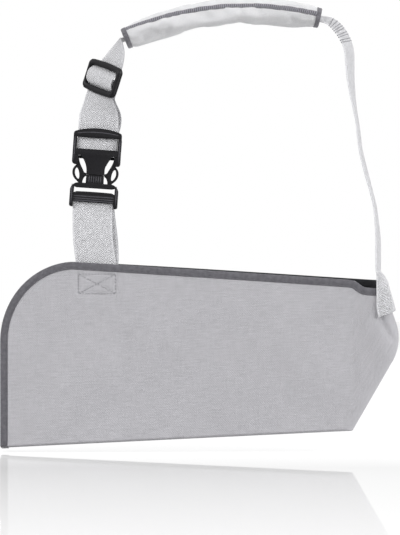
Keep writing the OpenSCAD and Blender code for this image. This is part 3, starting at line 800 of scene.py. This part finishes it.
# Buckle to slider, doubled: the slack run behind bows outwards
runs = []
for side, v, reach, top, end_d, low_bow, top_bow in (
        (-1, 41, 12, slider_pt(0, 3.1, -15), 3.1, (0, -1.5, 0), (0, 0, 0)),
        (1, 39, 10, slider_pt(0, 6.2, -16), 5.6, (4.5, 2.5, 0), (4.5, 2.5, 0))):
    run = [(buckle_pt(0, 1.2 + side * LOOP_R, at), BUCKLE_U) for at in (16.5, 30, v)]
    low = run[-1][0]
    run += curve([low, low + BUCKLE_V * reach + Vector(low_bow), top - SLIDER_V * 12 + Vector(top_bow),
                  top], BUCKLE_U, SLIDER_U, 14, 1)
    runs.append(run + [(slider_pt(0, end_d, -12), SLIDER_U)])
front, rear = runs
path = front[::-1] + loop_round(female_bar, 0, -180)[1:-1] + rear
middle = ribbon("buckle_webbing", dense(path), None, ["buckle_loop"])
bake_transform(middle)

# Over the slider's middle bar, behind its outer bars, and the sewn end round the middle bar
wrap = [(12.6, 3.3), (10.6, 3.2), (8.9, 1.6), (7.4, -0.9), (5.2, -3.0), (2.6, -4.1), (0, -4.4),
        (-2.6, -4.2), (-5.2, -3.2), (-7.4, -1.1), (-8.9, 1.4), (-10.6, 3.1), (-12.6, 3.3)]
sewn_end = [(1.9, 0.9), (2.0, -0.9), (0.6, -2.2), (-1.4, -1.9), (-2.3, 0), (-3.4, 2.4), (-6.4, 4.4),
            (-12.0, 5.4)]
for name, node, route, rounds, less in (("slider_webbing", "slider_wrap", wrap, 2, 0.4),
                                        ("webbing_end", "end_loop", sewn_end, 3, 1.5)):
    path = smooth_path([(slider_pt(0, d, v), SLIDER_U) for v, d in route], rounds)
    ribbon(name, dense(path, 1.2), "slider", [node], WEB_W - less)

PAD_C = Vector(joints["pad_shift"]["pos_m"]) / MM
PAD_LEAN = math.atan2(PAD_C.x, -PAD_C.z)


def arc_pt(a, r=PAD_R, y=0.0):
    """Point on the shoulder arc at angle a, in radians, towards the hand from the pad's middle."""
    a += PAD_LEAN
    return PAD_C + Vector((-r * math.sin(a), y, r * math.cos(a)))


def arc_dir(a):
    return xz(math.cos(a + PAD_LEAN), math.sin(a + PAD_LEAN))


RUN_A = math.radians(18.25)
end = arc_pt(RUN_A)
path = [(slider_pt(0, 3.1, 12), SLIDER_U)]
path += curve([slider_pt(0, 3.1, 14), slider_pt(0, 3.1, 24), end - arc_dir(RUN_A) * 12, end],
              SLIDER_U, Y_OUT, 18)
shoulder = ribbon("shoulder_webbing", dense(path), None, ["shoulder_run"])
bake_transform(shoulder)


def turned(t, degrees):
    """Width direction of webbing along t in the sling's plane, turned to show its outside."""
    a = math.radians(degrees)
    return Y_OUT * math.cos(a) - xz(-t.z, t.x) * math.sin(a)


START_TURN = 15
path = []
for i in range(61):
    a = RUN_A * (1 - i / 30)
    path.append((arc_pt(a), turned(arc_dir(a), START_TURN * smooth_step((i - 50) / 10))))
ribbon("pad_webbing", path, "root", ["pad_run"])


# Long strap to the elbow, hung edge-on with a little turn: x, z and turn in degrees
hang = [(112.5, 3.6, 19), (119.5, -4.5, 20), (124.6, -13.5, 19), (127.6, -24, 18), (128.1, -38, 16),
        (128.8, -52, 14.5), (130.6, -67, 11.5), (133, -82, 8.5), (135.8, -96, 8), (137.3, -110, 8.5),
        (139, -124, 8.5), (142.4, -138, 9), (145.6, -150, 9), (149.2, -163, 8), (152.9, -177, 8),
        (154.8, -192, 9), (156.4, -211, 11), (156.4, -226, 11)]
start = arc_pt(-RUN_A)
places = [start, start + arc_dir(-RUN_A) * 5] + [xz(x, z) for x, z, _ in hang]
turns = [START_TURN, 18] + [a for _, _, a in hang]
path = [(p, -turned(tangent(places, i), turns[i])) for i, p in enumerate(places)]
path = dense(smooth_path(path, 3))


def wrapped(u, z):
    """Point of the strap end folded round the elbow corner, u across from -1 at the front edge."""
    over = z - ELBOW_TOP.z
    left = 153.6 + 2.6 * smooth_step((-272 - z) / 16)
    out = max(ELBOW_TOP.x + 5.5 - 0.27 * over - 0.35 * max(over, 0), left + 6.5)
    r = 6.0
    leg, quarter = max(out - r - left, 0.5), r * math.pi / 2
    deep = max(DEPTH + 1.4, r + WEB_W / 2 - leg - quarter)
    run = (u + 1) * WEB_W / 2 - leg
    side_run = run - quarter - 2 * (deep - r)
    if run < 0:
        x, y = out - r + run, -deep
    elif run < quarter:
        x, y = out - r + r * math.sin(run / r), r - deep - r * math.cos(run / r)
    elif side_run < 0:
        x, y = out, deep - r + side_run
    elif side_run < quarter:
        x, y = out - r + r * math.cos(side_run / r), deep - r + r * math.sin(side_run / r)
    else:
        x, y = out - r - side_run + quarter, deep
    drop = 0.42 * max(out - x, 0) * smooth_step((-250 - z) / 20) * (1 if y < 0 else 0.6)
    x += 2.0 * max(y, 0) / deep * smooth_step((z + 262) / 10)
    return Vector((x, y, z - drop))


TAB_LEN, HANG_LEN = 58, 16
grid = flat_rows(path)
last, side = path[-1]
for i in range(1, round(TAB_LEN / WEB_STEP) + 1):
    z = last.z - i * WEB_STEP
    k = smooth_step((last.z - HANG_LEN - z) / 7)
    row = []
    for u in ACROSS_U:
        hung = xz(last.x, z) + side * (u * WEB_W / 2)
        row.append(hung.lerp(wrapped(u, z), k))
    grid.append(row)
band("elbow_webbing", grid, "root", ["elbow_run", "elbow_tab"])

ROW_GAP = 3.1
runs = []
for k in range(8):
    z = last.z - TAB_LEN + 3.2 + k * ROW_GAP
    zigzag = [wrapped(-0.96 + 0.1 * i, z) + Vector((0, -WEB_T / 2, 1.1 * (-1) ** i)) for i in range(9)]
    runs.append((zigzag, Y_OUT))
stitches("elbow_stitching", runs, "root", ["tab_stitch"], WEB_THREAD,
         length=1.9, gap=0.6, r=0.5, sink=-0.1)

# Nine rows of tacking across the joint below the pad, each on both faces and round the near edge
TACK_START, TACK_ROWS = 7, 9
runs, gone, last = [], 0.0, None
for p, w, f in frames(path):
    gone += (p - last).length if last else 0.0
    last = p
    if gone < TACK_START + ROW_GAP * (len(runs) // 3) or len(runs) >= TACK_ROWS * 3:
        continue
    for sign in (1, -1):
        runs.append(([p + w * u + f * sign * WEB_T / 2 for u in (-18, -9, 0, 9, 18)], f * sign))
    runs.append(([p - w * 20.2 + f * h for h in (-1.1, 0, 1.1)], -w))
stitches("joint_tacking", runs, "root", ["bar_tack"], TACK_THREAD, gap=0.3, r=0.52)


# ---- buckle and slider
def moulding(name, node, body):
    """The frame's solid with every edge rounded, as it comes from the mould."""
    ob = new_object(name, frame["nodes"][node].data.copy())
    ob.data.materials.clear()
    ob.data.materials.append(PLASTIC)
    assign(ob.modifiers.new("weld", "WELD"), merge_threshold=0.01 * MM)
    assign(ob.modifiers.new("flat", "DECIMATE"), decimate_type="DISSOLVE", angle_limit=math.radians(2))
    assign(ob.modifiers.new("round", "BEVEL"), width=0.5 * MM, segments=3, limit_method="ANGLE",
           angle_limit=math.radians(35), use_clamp_overlap=True, miter_outer="MITER_ARC")
    bake_modifiers(ob)
    ob.data.polygons.foreach_set("use_smooth", [True] * len(ob.data.polygons))
    ob.data.set_sharp_from_angle(angle=math.radians(50))
    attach(ob, body)
    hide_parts(node)
    return ob


# The socket's top bar is drawn in a little, because socket_top_bar covers it
socket = moulding("buckle_socket", "buckle_female", "root")
for vert in socket.data.vertices:
    over = (vert.co / MM - BUCKLE).dot(BUCKLE_V) - 33
    if over > 0:
        vert.co -= BUCKLE_V * (over * 0.75 * MM)

moulding("buckle_tongue", "buckle_male", "male")


def closed_smooth(pts, rounds):
    """Corner-cutting round a closed outline."""
    for _ in range(rounds):
        pts = [(a[0] * (1 - k) + b[0] * k, a[1] * (1 - k) + b[1] * k)
               for a, b in zip(pts, pts[1:] + pts[:1]) for k in (0.25, 0.75)]
    return pts


def plate(name, loops, d0, d1, body, r, replaced=()):
    """Flat moulding with rounded edges, from outlines on the buckle; later ones are holes."""
    flat = assign(bpy.data.curves.new(name, "CURVE"), dimensions="2D", fill_mode="BOTH",
                  extrude=(d1 - d0) / 2 - r, bevel_depth=r, bevel_resolution=2, offset=-r)
    for loop in loops:
        line = flat.splines.new("POLY")
        line.points.add(len(loop) - 1)
        line.points.foreach_set("co", [c for u, v in loop for c in (u, v, 0, 1)])
        line.use_cyclic_u = True
    shaped = new_object(name, flat)
    bpy.context.view_layer.update()
    deps = bpy.context.evaluated_depsgraph_get()
    me = bpy.data.meshes.new_from_object(shaped.evaluated_get(deps))
    verts = [buckle_pt(v.co.x, (d0 + d1) / 2 + v.co.z, v.co.y) for v in me.vertices]
    faces = [tuple(p.vertices) for p in me.polygons]
    bpy.data.objects.remove(shaped)
    bpy.data.curves.remove(flat)
    bpy.data.meshes.remove(me)
    ob = piece(name, verts, faces, body, "plastic", [PLASTIC], replaced=replaced)
    assign(ob.modifiers.new("weld", "WELD"), merge_threshold=0.004 * MM)
    bake_modifiers(ob)
    ob.data.set_sharp_from_angle(angle=math.radians(40))


# Pinch arm: curved spine, finger loop, inner knee and the latch hook at its top
ARM = [(15.9, -15.4), (17.6, -13.6), (20.9, -10.8), (22.7, -7.4), (23.2, -4.2), (22.7, -1.0),
       (21.0, 1.6), (19.4, 3.2), (18.9, 4.6), (18.8, 6.2), (21.2, 6.3), (21.3, 8.6), (19.4, 11.4),
       (18.1, 11.6), (17.4, 9.0), (16.4, 5.4), (14.7, 1.8), (12.9, -1.2), (11.9, -3.4), (11.0, -4.5),
       (9.1, -4.9), (8.95, -6.3), (9.1, -7.9), (10.6, -8.4), (11.9, -10.8), (12.6, -13.6),
       (12.3, -15.6), (14.0, -16.6)]
EYE = [(18.9, 0.6), (20.4, -1.6), (20.7, -4.8), (19.8, -8.0), (17.8, -10.6), (16.3, -11.2),
       (15.8, -9.4), (16.0, -6.2), (16.8, -2.6)]
for hand, s in (("left", -1), ("right", 1)):
    loops = [[(s * u, v) for u, v in closed_smooth(line, 2)] for line in (ARM, EYE)]
    plate("pinch_arm_" + hand, loops, -2.3, 2.3, hand + "_arm", 0.45, ["arm_" + hand])

# Ribbed root of the tongue, below the socket's waist
root_line = [(-9.0, -15.6), (9.0, -15.6), (8.9, -11.0), (8.8, -6.5), (-8.8, -6.5), (-8.9, -11.0)]
plate("tongue_root", [root_line], -5.1, -3.2, "male", 0.3)

# Arched top bar of the socket, and the waisted face between its sickle windows
crest = [(-24, 31), (-24, 34.4), (-23, 36.6), (-12, 39.4), (0, 40.4), (12, 39.4), (23, 36.6),
         (24, 34.4), (24, 31), (12, 30.4), (0, 30.2), (-12, 30.4)]
plate("socket_top_bar", [closed_smooth(crest, 2)], -5.8, -3.2, "root", 0.8)
WINDOW_R, WINDOW_U, WINDOW_V = 22.8, 31.7, -4
waist = []
for i in range(25):
    v = -6.4 + 18.8 * i / 24
    waist.append((WINDOW_U - math.sqrt(WINDOW_R ** 2 - (v - WINDOW_V) ** 2), v))
waist += [(20.8, 12.4), (20.8, 17)]
plate("socket_face", [waist + [(-u, v) for u, v in waist[::-1]]], -5.75, -3.6, "root", 0.3)


def rail(name, route, body, r, flat, mat=HIGHLIGHT_PLASTIC):
    """Rounded rib on the buckle, r wide and r * flat thick, through points across, deep and along; by
    default in the lighter plastic of painted highlight.
    """
    rings = []
    pts = [Vector(p) for p in route]
    for i, p in enumerate(pts):
        t = tangent(pts, i)
        n = xz(-t.z, t.x)
        grow = r * (0.35 if i in (0, len(pts) - 1) else 1.0)
        rings.append([buckle_pt(*q) for q in oval(p, n * grow, Vector((0, flat * grow, 0)))])
    piece(name, *tube(rings), body, "plastic", [mat])


def bow(v, d, rise, half=20.5, n=14):
    return [(half * (2 * i / n - 1), d, v + rise * (1 - (2 * i / n - 1) ** 2)) for i in range(n + 1)]


# The top ridge and the ribs and grips below are in the lighter plastic of painted highlight.
rail("socket_top_ridge", bow(34.2, -5.75, 1.8), "root", 0.5, 0.5)
rail("tongue_slot_lip", bow(-18.6, -4.6, 0), "male", 1.3, 0.8, PLASTIC)
rail("tongue_bar_roll", bow(-25.6, -4.3, 0.4), "male", 1.9, 0.6, PLASTIC)
rail("socket_inner_rail", bow(32.6, -5.3, 0.6), "root", 0.8, 0.6, PLASTIC)
for k in range(6):
    rib = [(2.3 * (k - 2.5), -5.15, v) for v in (-14.6, -12, -9.5, -7.4)]
    rail("tongue_rib_%d" % (k + 1), rib, "male", 0.45, 0.7)
for k, v in enumerate((-28.2, -30.6, -32.6)):
    rail("tongue_grip_%d" % (k + 1), bow(v, -5.45, 0.0, 20), "male", 0.55, 0.6)
for k, s in enumerate((-1, 1)):
    legs = [(s * 22.3, -5.35, v) for v in (-16.5, -22, -30, -37)]
    rail("tongue_leg_rib_%d" % (k + 1), legs, "male", 0.6, 0.6)
    sides = [(s * 22.4, -5.35, v) for v in (5.5, 14, 24, 33)]
    rail("socket_side_rib_%d" % (k + 1), sides, "root", 0.6, 0.6)


def rounded(w, h, r, bow_out):
    """Outline of a rounded rectangle whose long sides bow outwards."""
    def corner(k, a):
        sx, sz = (1, -1, -1, 1)[k % 4], (1, 1, -1, -1)[k % 4]
        return xz(sx * (w - r) + r * math.cos(a), sz * (h - r) + r * math.sin(a))

    pts = []
    for k in range(4):
        pts += [corner(k, math.pi / 2 * (k + i / 6)) for i in range(7)]
        end, to = pts[-1], corner(k + 1, math.pi / 2 * (k + 1))
        pts += [end.lerp(to, i / 7) for i in range(1, 7)]
    return [p + Vector((0, 0, math.copysign(bow_out * max(1 - (p.x / w) ** 2, 0), p.z))) for p in pts]


def slider_frame():
    """Slider with bowed outer bars, thick rounded ends and a round bar across its middle."""
    rings = []
    for o, q in zip(rounded(24.3, 15, 4.5, 1.4), rounded(20.2, 9.3, 1.8, 0.7)):
        m, half = (o + q) / 2, (o - q) / 2
        thick = 2.0 + 1.2 * smooth_step((abs(m.x) - 17) / 5)
        bend = -0.9 * (1 - (m.x / 24) ** 2) * (abs(m.z) / 12)
        ring = []
        for a in circle(12):
            c, s = power(math.cos(a), 0.7), power(math.sin(a), 0.7)
            ring.append(slider_pt(*(m + half * c + Vector((0, thick * s + bend, 0)))))
        rings.append(ring)
    bar_r, bar_w = 1.25, 43
    bar = [[slider_pt(bar_w * (i / 12 - 0.5), bar_r * math.cos(a), bar_r * math.sin(a))
            for a in circle(12)] for i in range(13)]
    verts, faces = join([tube(rings, closed=True), tube(bar)])
    piece("slider_frame", verts, faces, "slider", "plastic", [PLASTIC], replaced=["slider"])


slider_frame()


# ---- shoulder pad
PAD_HALF = math.radians(17.3)
SQUARE_Y, SQUARE_Z = 0.34, 0.9


def seam_up(s):
    """How far up the section the overlocked seam runs at s, as an angle."""
    return math.radians(22 + 14 * s + 47 * max(s - 0.7, 0))


def pad_size(s):
    """Half-height and half-width of the pad at s, from -1 at the elbow end to 1 at the hand end."""
    e = abs(s)
    return 10.2 + 3.2 * (1 - e ** 2.2), 29.5 + 1.5 * (1 - e ** 3)


def pad_pt(s, a, grow=0.0):
    """Point on the pad's skin; a runs round the section from the front middle up over the top."""
    h, w = pad_size(s)
    y = -(w + grow) * power(math.cos(a), SQUARE_Y)
    z = (h + grow) * power(math.sin(a), SQUARE_Z)
    return arc_pt(s * PAD_HALF, PAD_R + z, y)


def pad_out(p, s):
    """Outward direction at a point of the skin at s."""
    return unit(p - arc_pt(s * PAD_HALF, PAD_R, p.y * 0.55))


def pad_body():
    """The sleeve before it swells, 2 mm inside its skin."""
    rings = [[pad_pt(-1 + 2 * i / 72, a, -2.0) for a in circle(56)] for i in range(73)]
    return piece("pad_sleeve", *tube(rings), None, "pad_cloth", [KNIT])


MAX_SWELL = 2.2
FRAMES = 20


def settle(ob):
    """Swells the pad with cloth simulation, held at its ends and seam, then caps the travel."""
    assign(ob.modifiers.new("remesh", "REMESH"), mode="VOXEL", voxel_size=4.2 * MM)
    bake_modifiers(ob)
    before = [v.co.copy() for v in ob.data.vertices]
    hold = ob.vertex_groups.new(name="hold")
    for v in ob.data.vertices:
        a = math.atan2(v.co.x / MM - PAD_C.x, v.co.z / MM - PAD_C.z) + PAD_LEAN
        at = -a / PAD_HALF
        near = (pad_pt(at, seam_up(at), -1.0) * MM - v.co).length
        weight = max(smooth_step((abs(at) - 0.93) / 0.05), 1 - smooth_step((near - 0.003) / 0.004))
        if weight > 0:
            hold.add([v.index], weight, "REPLACE")
    cloth = ob.modifiers.new("cloth", "CLOTH")
    assign(cloth.settings, quality=6, mass=0.25, use_pressure=True, uniform_pressure_force=2.2,
           tension_stiffness=12, compression_stiffness=4, bending_stiffness=0.35, shrink_min=-0.05,
           vertex_group_mass="hold")
    cloth.settings.effector_weights.gravity = 0
    assign(cloth.point_cache, frame_start=1, frame_end=FRAMES)
    scene = bpy.context.scene
    for f in range(1, FRAMES + 1):
        scene.frame_set(f)
    bake_modifiers(ob)
    scene.frame_set(1)
    for v, old in zip(ob.data.vertices, before):
        move = v.co - old
        if move.length > MAX_SWELL * MM:
            v.co = old + move * (MAX_SWELL * MM / move.length)


def pad_fold(s, a):
    """Folds of the sleeve: slack below the middle, pulls from the seam and towards the ends."""
    out = 0.0
    under = smooth_step((math.sin(-a) + 0.2) / 0.8)
    for at, wide, deep in ((-0.19, 0.045, -0.9), (-0.29, 0.07, 1.3), (-0.46, 0.10, -0.4),
                           (0.02, 0.10, 0.4), (0.45, 0.16, 0.5), (-0.72, 0.12, 0.6)):
        out += under * deep * bell((s - at) / wide)
    face = max(math.cos(a), 0.0) ** 2
    for at, lean, wide, deep in ((-0.1, 0.22, 0.03, 0.8), (-0.28, -0.3, 0.035, 0.6),
                                 (0.2, 0.3, 0.05, -0.5), (0.62, -0.2, 0.045, 0.5),
                                 (-0.6, 0.25, 0.05, -0.5)):
        out += face * deep * bell((s - at - lean * math.sin(a)) / wide)
    return out


def pad_coords(p):
    """Where a point in mm lies round and along the pad: s, angle."""
    d = p - PAD_C
    along_a = math.atan2(-d.x, d.z) - PAD_LEAN
    z = math.hypot(d.x, d.z) - PAD_R
    s = along_a / PAD_HALF
    h, w = pad_size(clamp(s, -1, 1))
    c = power(clamp(-d.y / w, -1, 1), 1 / SQUARE_Y)
    r = power(clamp(z / h, -1, 1), 1 / SQUARE_Z)
    return s, math.atan2(r, c)


sleeve = pad_body()
settle(sleeve)
assign(sleeve.modifiers.new("smooth", "SUBSURF"), levels=1, render_levels=1)
bake_modifiers(sleeve)
lay = sleeve.data.attributes.get("lay") or sleeve.data.attributes.new("lay", "FLOAT_VECTOR", "POINT")
flat = []
for v in sleeve.data.vertices:
    p = v.co / MM
    s, a = pad_coords(p)
    d = p - PAD_C
    up = (math.hypot(d.x, d.z) - PAD_R) / 13
    out = Vector((0, p.y / 31, 0)) + unit(xz(d.x, d.z)) * up
    pull = pad_fold(s, a) * (1 - smooth_step((abs(s) - 0.86) / 0.12))
    seam = bell((a - seam_up(s)) / 0.09) if abs(s) < 1.1 else 0
    v.co = (p + unit(out) * (pull - 0.9 * seam + 0.25 * noise.noise(p / 16))) * MM
    flat += [s * 96, a * 25, 0]
lay.data.foreach_set("vector", flat)
sleeve.data.polygons.foreach_set("use_smooth", [True] * len(sleeve.data.polygons))
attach(sleeve, "pad")
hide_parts("pad_cover", "pad_foam")

# What is drawn on the sleeve sits on its final skin
bpy.context.view_layer.update()
skin = BVHTree.FromObject(sleeve, bpy.context.evaluated_depsgraph_get())


def on_skin(s, a, rise=0.0):
    """The sleeve's skin at s and a, looked up from outside."""
    far = pad_pt(s, a, 14)
    mid = pad_pt(s, a, -6)
    hit, normal, _, _ = skin.ray_cast(far * MM, unit(mid - far))
    if hit is None:
        return pad_pt(s, a, rise)
    return hit / MM + normal * rise


SEAM_END, LOOPS, SLANT = 0.975, 98, 0.45


def seam_band():
    """Overlocked edge: a flattened cord under closely wound thread."""
    n = 150
    rings, lay, run = [], [], 0.0
    spots = [SEAM_END * (2 * i / n - 1) for i in range(n + 1)]
    centre = [on_skin(s, seam_up(s), 0.3) for s in spots]
    for i, (s, p) in enumerate(zip(spots, centre)):
        out = pad_out(p, s)
        side = unit(out.cross(tangent(centre, i)))
        run += (p - centre[i - 1]).length if i else 0
        rings.append(oval(p, side * 2.5, out * 0.8))
        lay += [(k * 0.5, run, 0) for k in range(12)]
    piece("pad_seam_tape", *tube(rings), "pad", "binding", [SEAM], lay, ["pad_seam"])
    runs = []
    for i in range(LOOPS):
        s = 0.965 * (2 * (i + 0.5) / LOOPS - 1)
        at = (s / SEAM_END + 1) / 2 * n
        k = min(int(at), n - 1)
        p, t = centre[k].lerp(centre[k + 1], at - k), unit(centre[k + 1] - centre[k])
        out = pad_out(p, s)
        across = unit(out.cross(t)) * 2.75 + t * SLANT
        runs.append((oval(p, across, out)[:7], out))
    stitches("pad_overlock", runs, "pad", [], SEAM_THREAD, length=8.5, gap=0.01, r=0.42, sink=-0.05)


def end_binding(name, sign, node):
    """Ribbed tape folded over the sleeve's open end."""
    section = ((0.960, -0.6), (0.961, 0.3), (0.966, 0.75), (0.978, 0.5), (0.992, 0.7), (1.003, 0.4),
               (1.008, -0.4), (1.004, -1.2), (0.985, -1.7))
    rings, lay = [], []
    near = sign * 0.95
    for a in circle(64):
        plain = pad_pt(near, a)
        offset, out = on_skin(near, a) - plain, pad_out(plain, near)
        rings.append([pad_pt(sign * f, a) + offset + out * g for f, g in section])
        lay += [(j * 1.2, a * 22, 0) for j in range(len(section))]
    piece(name, *tube(rings, closed=True), "pad", "binding", [SEAM], lay, [node])


seam_band()
end_binding("pad_end_tape_left", 1, "pad_binding_left")
end_binding("pad_end_tape_right", -1, "pad_binding_right")

# ---- floor, light and camera
FLOOR_Z = -0.4248


def floor_material():
    """Pale floor, whiter to the camera, that mirrors more towards the back, and whose glow to the
    camera rises towards the pouch: partly to even out the floor, partly painted light that washes out
    the pouch's shadow there.
    """
    n = Nodes("floor")
    n.tree.nodes.remove(n.shader)
    depth = n.split(n.tree.nodes.new("ShaderNodeNewGeometry").outputs["Position"])[1]
    seen = n.tree.nodes.new("ShaderNodeLightPath").outputs["Is Camera Ray"]
    mirror = n.add("MapRange", depth, -0.9, -0.05, 0.13, 0.52)
    # Painted light: the camera-ray glow is raised near the pouch, where its shadow falls.
    level = n.add("MapRange", depth, -0.2, -0.02, 0.61, 0.92)
    glow = n.add("Emission", Strength=n.math("MULTIPLY", seen, level))
    plain = n.add("AddShader", n.add("BsdfDiffuse", Color=(0.36, 0.36, 0.36, 1)), glow)
    gloss = n.add("BsdfGlossy", Roughness=0.02)
    surface = n.add("MixShader", mirror, plain, gloss)
    n.tree.links.new(surface, n.tree.nodes["Material Output"].inputs["Surface"])
    return n.mat


floor = bpy.data.meshes.new("floor")
corners = [(-6, -6, FLOOR_Z), (6, -6, FLOOR_Z), (6, 6, FLOOR_Z), (-6, 6, FLOOR_Z)]
floor.from_pydata(corners, [], [(0, 1, 2, 3)])
floor.materials.append(floor_material())
new_object("floor", floor)


def world_light(strength):
    """White world: this strong as light, and at 1 to the camera and in reflections."""
    world = bpy.data.worlds.new("studio")
    bpy.context.scene.world = world
    world.use_nodes = True
    tree = world.node_tree
    path_ray = tree.nodes.new("ShaderNodeLightPath")
    bg = tree.nodes["Background"]
    bg.inputs["Color"].default_value = (1, 1, 1, 1)
    seen = tree.nodes.new("ShaderNodeMath")
    seen.operation = "MAXIMUM"
    tree.links.new(path_ray.outputs["Is Camera Ray"], seen.inputs[0])
    tree.links.new(path_ray.outputs["Is Glossy Ray"], seen.inputs[1])
    level = tree.nodes.new("ShaderNodeMath")
    level.operation = "MAXIMUM"
    tree.links.new(seen.outputs[0], level.inputs[0])
    level.inputs[1].default_value = strength
    tree.links.new(level.outputs[0], bg.inputs["Strength"])


world_light(0.4)
# Lamps: place, height aimed at, size in metres, watts
for name, at, aim_z, size, watts in (("key", (-2.2, -1.7, 1.3), -0.2, 1.6, 59),
                                     ("side", (2.6, -1.0, 0.5), -0.2, 1.6, 60),
                                     ("top", (0.2, -0.2, 2.0), -0.1, 1.6, 14),
                                     ("low", (0.3, -2.2, -0.3), -0.05, 1.0, 7),
                                     ("back", (-0.9, 2.6, 0.8), -0.2, 1.8, 42)):
    light = assign(bpy.data.lights.new(name, "AREA"), shape="SQUARE", size=size, energy=watts)
    turn = (Vector((0, 0, aim_z)) - Vector(at)).to_track_quat("-Z", "Y").to_euler()
    assign(new_object(name, light), location=at, rotation_euler=turn)

cam = assign(bpy.data.cameras.new("camera"), lens=168, sensor_width=36)
cam_ob = assign(new_object("camera", cam), location=(-0.022, -2.5, -0.2405),
                rotation_euler=(math.pi / 2, 0, 0))
bpy.context.scene.camera = cam_ob
bpy.context.scene.view_settings.view_transform = "Standard"
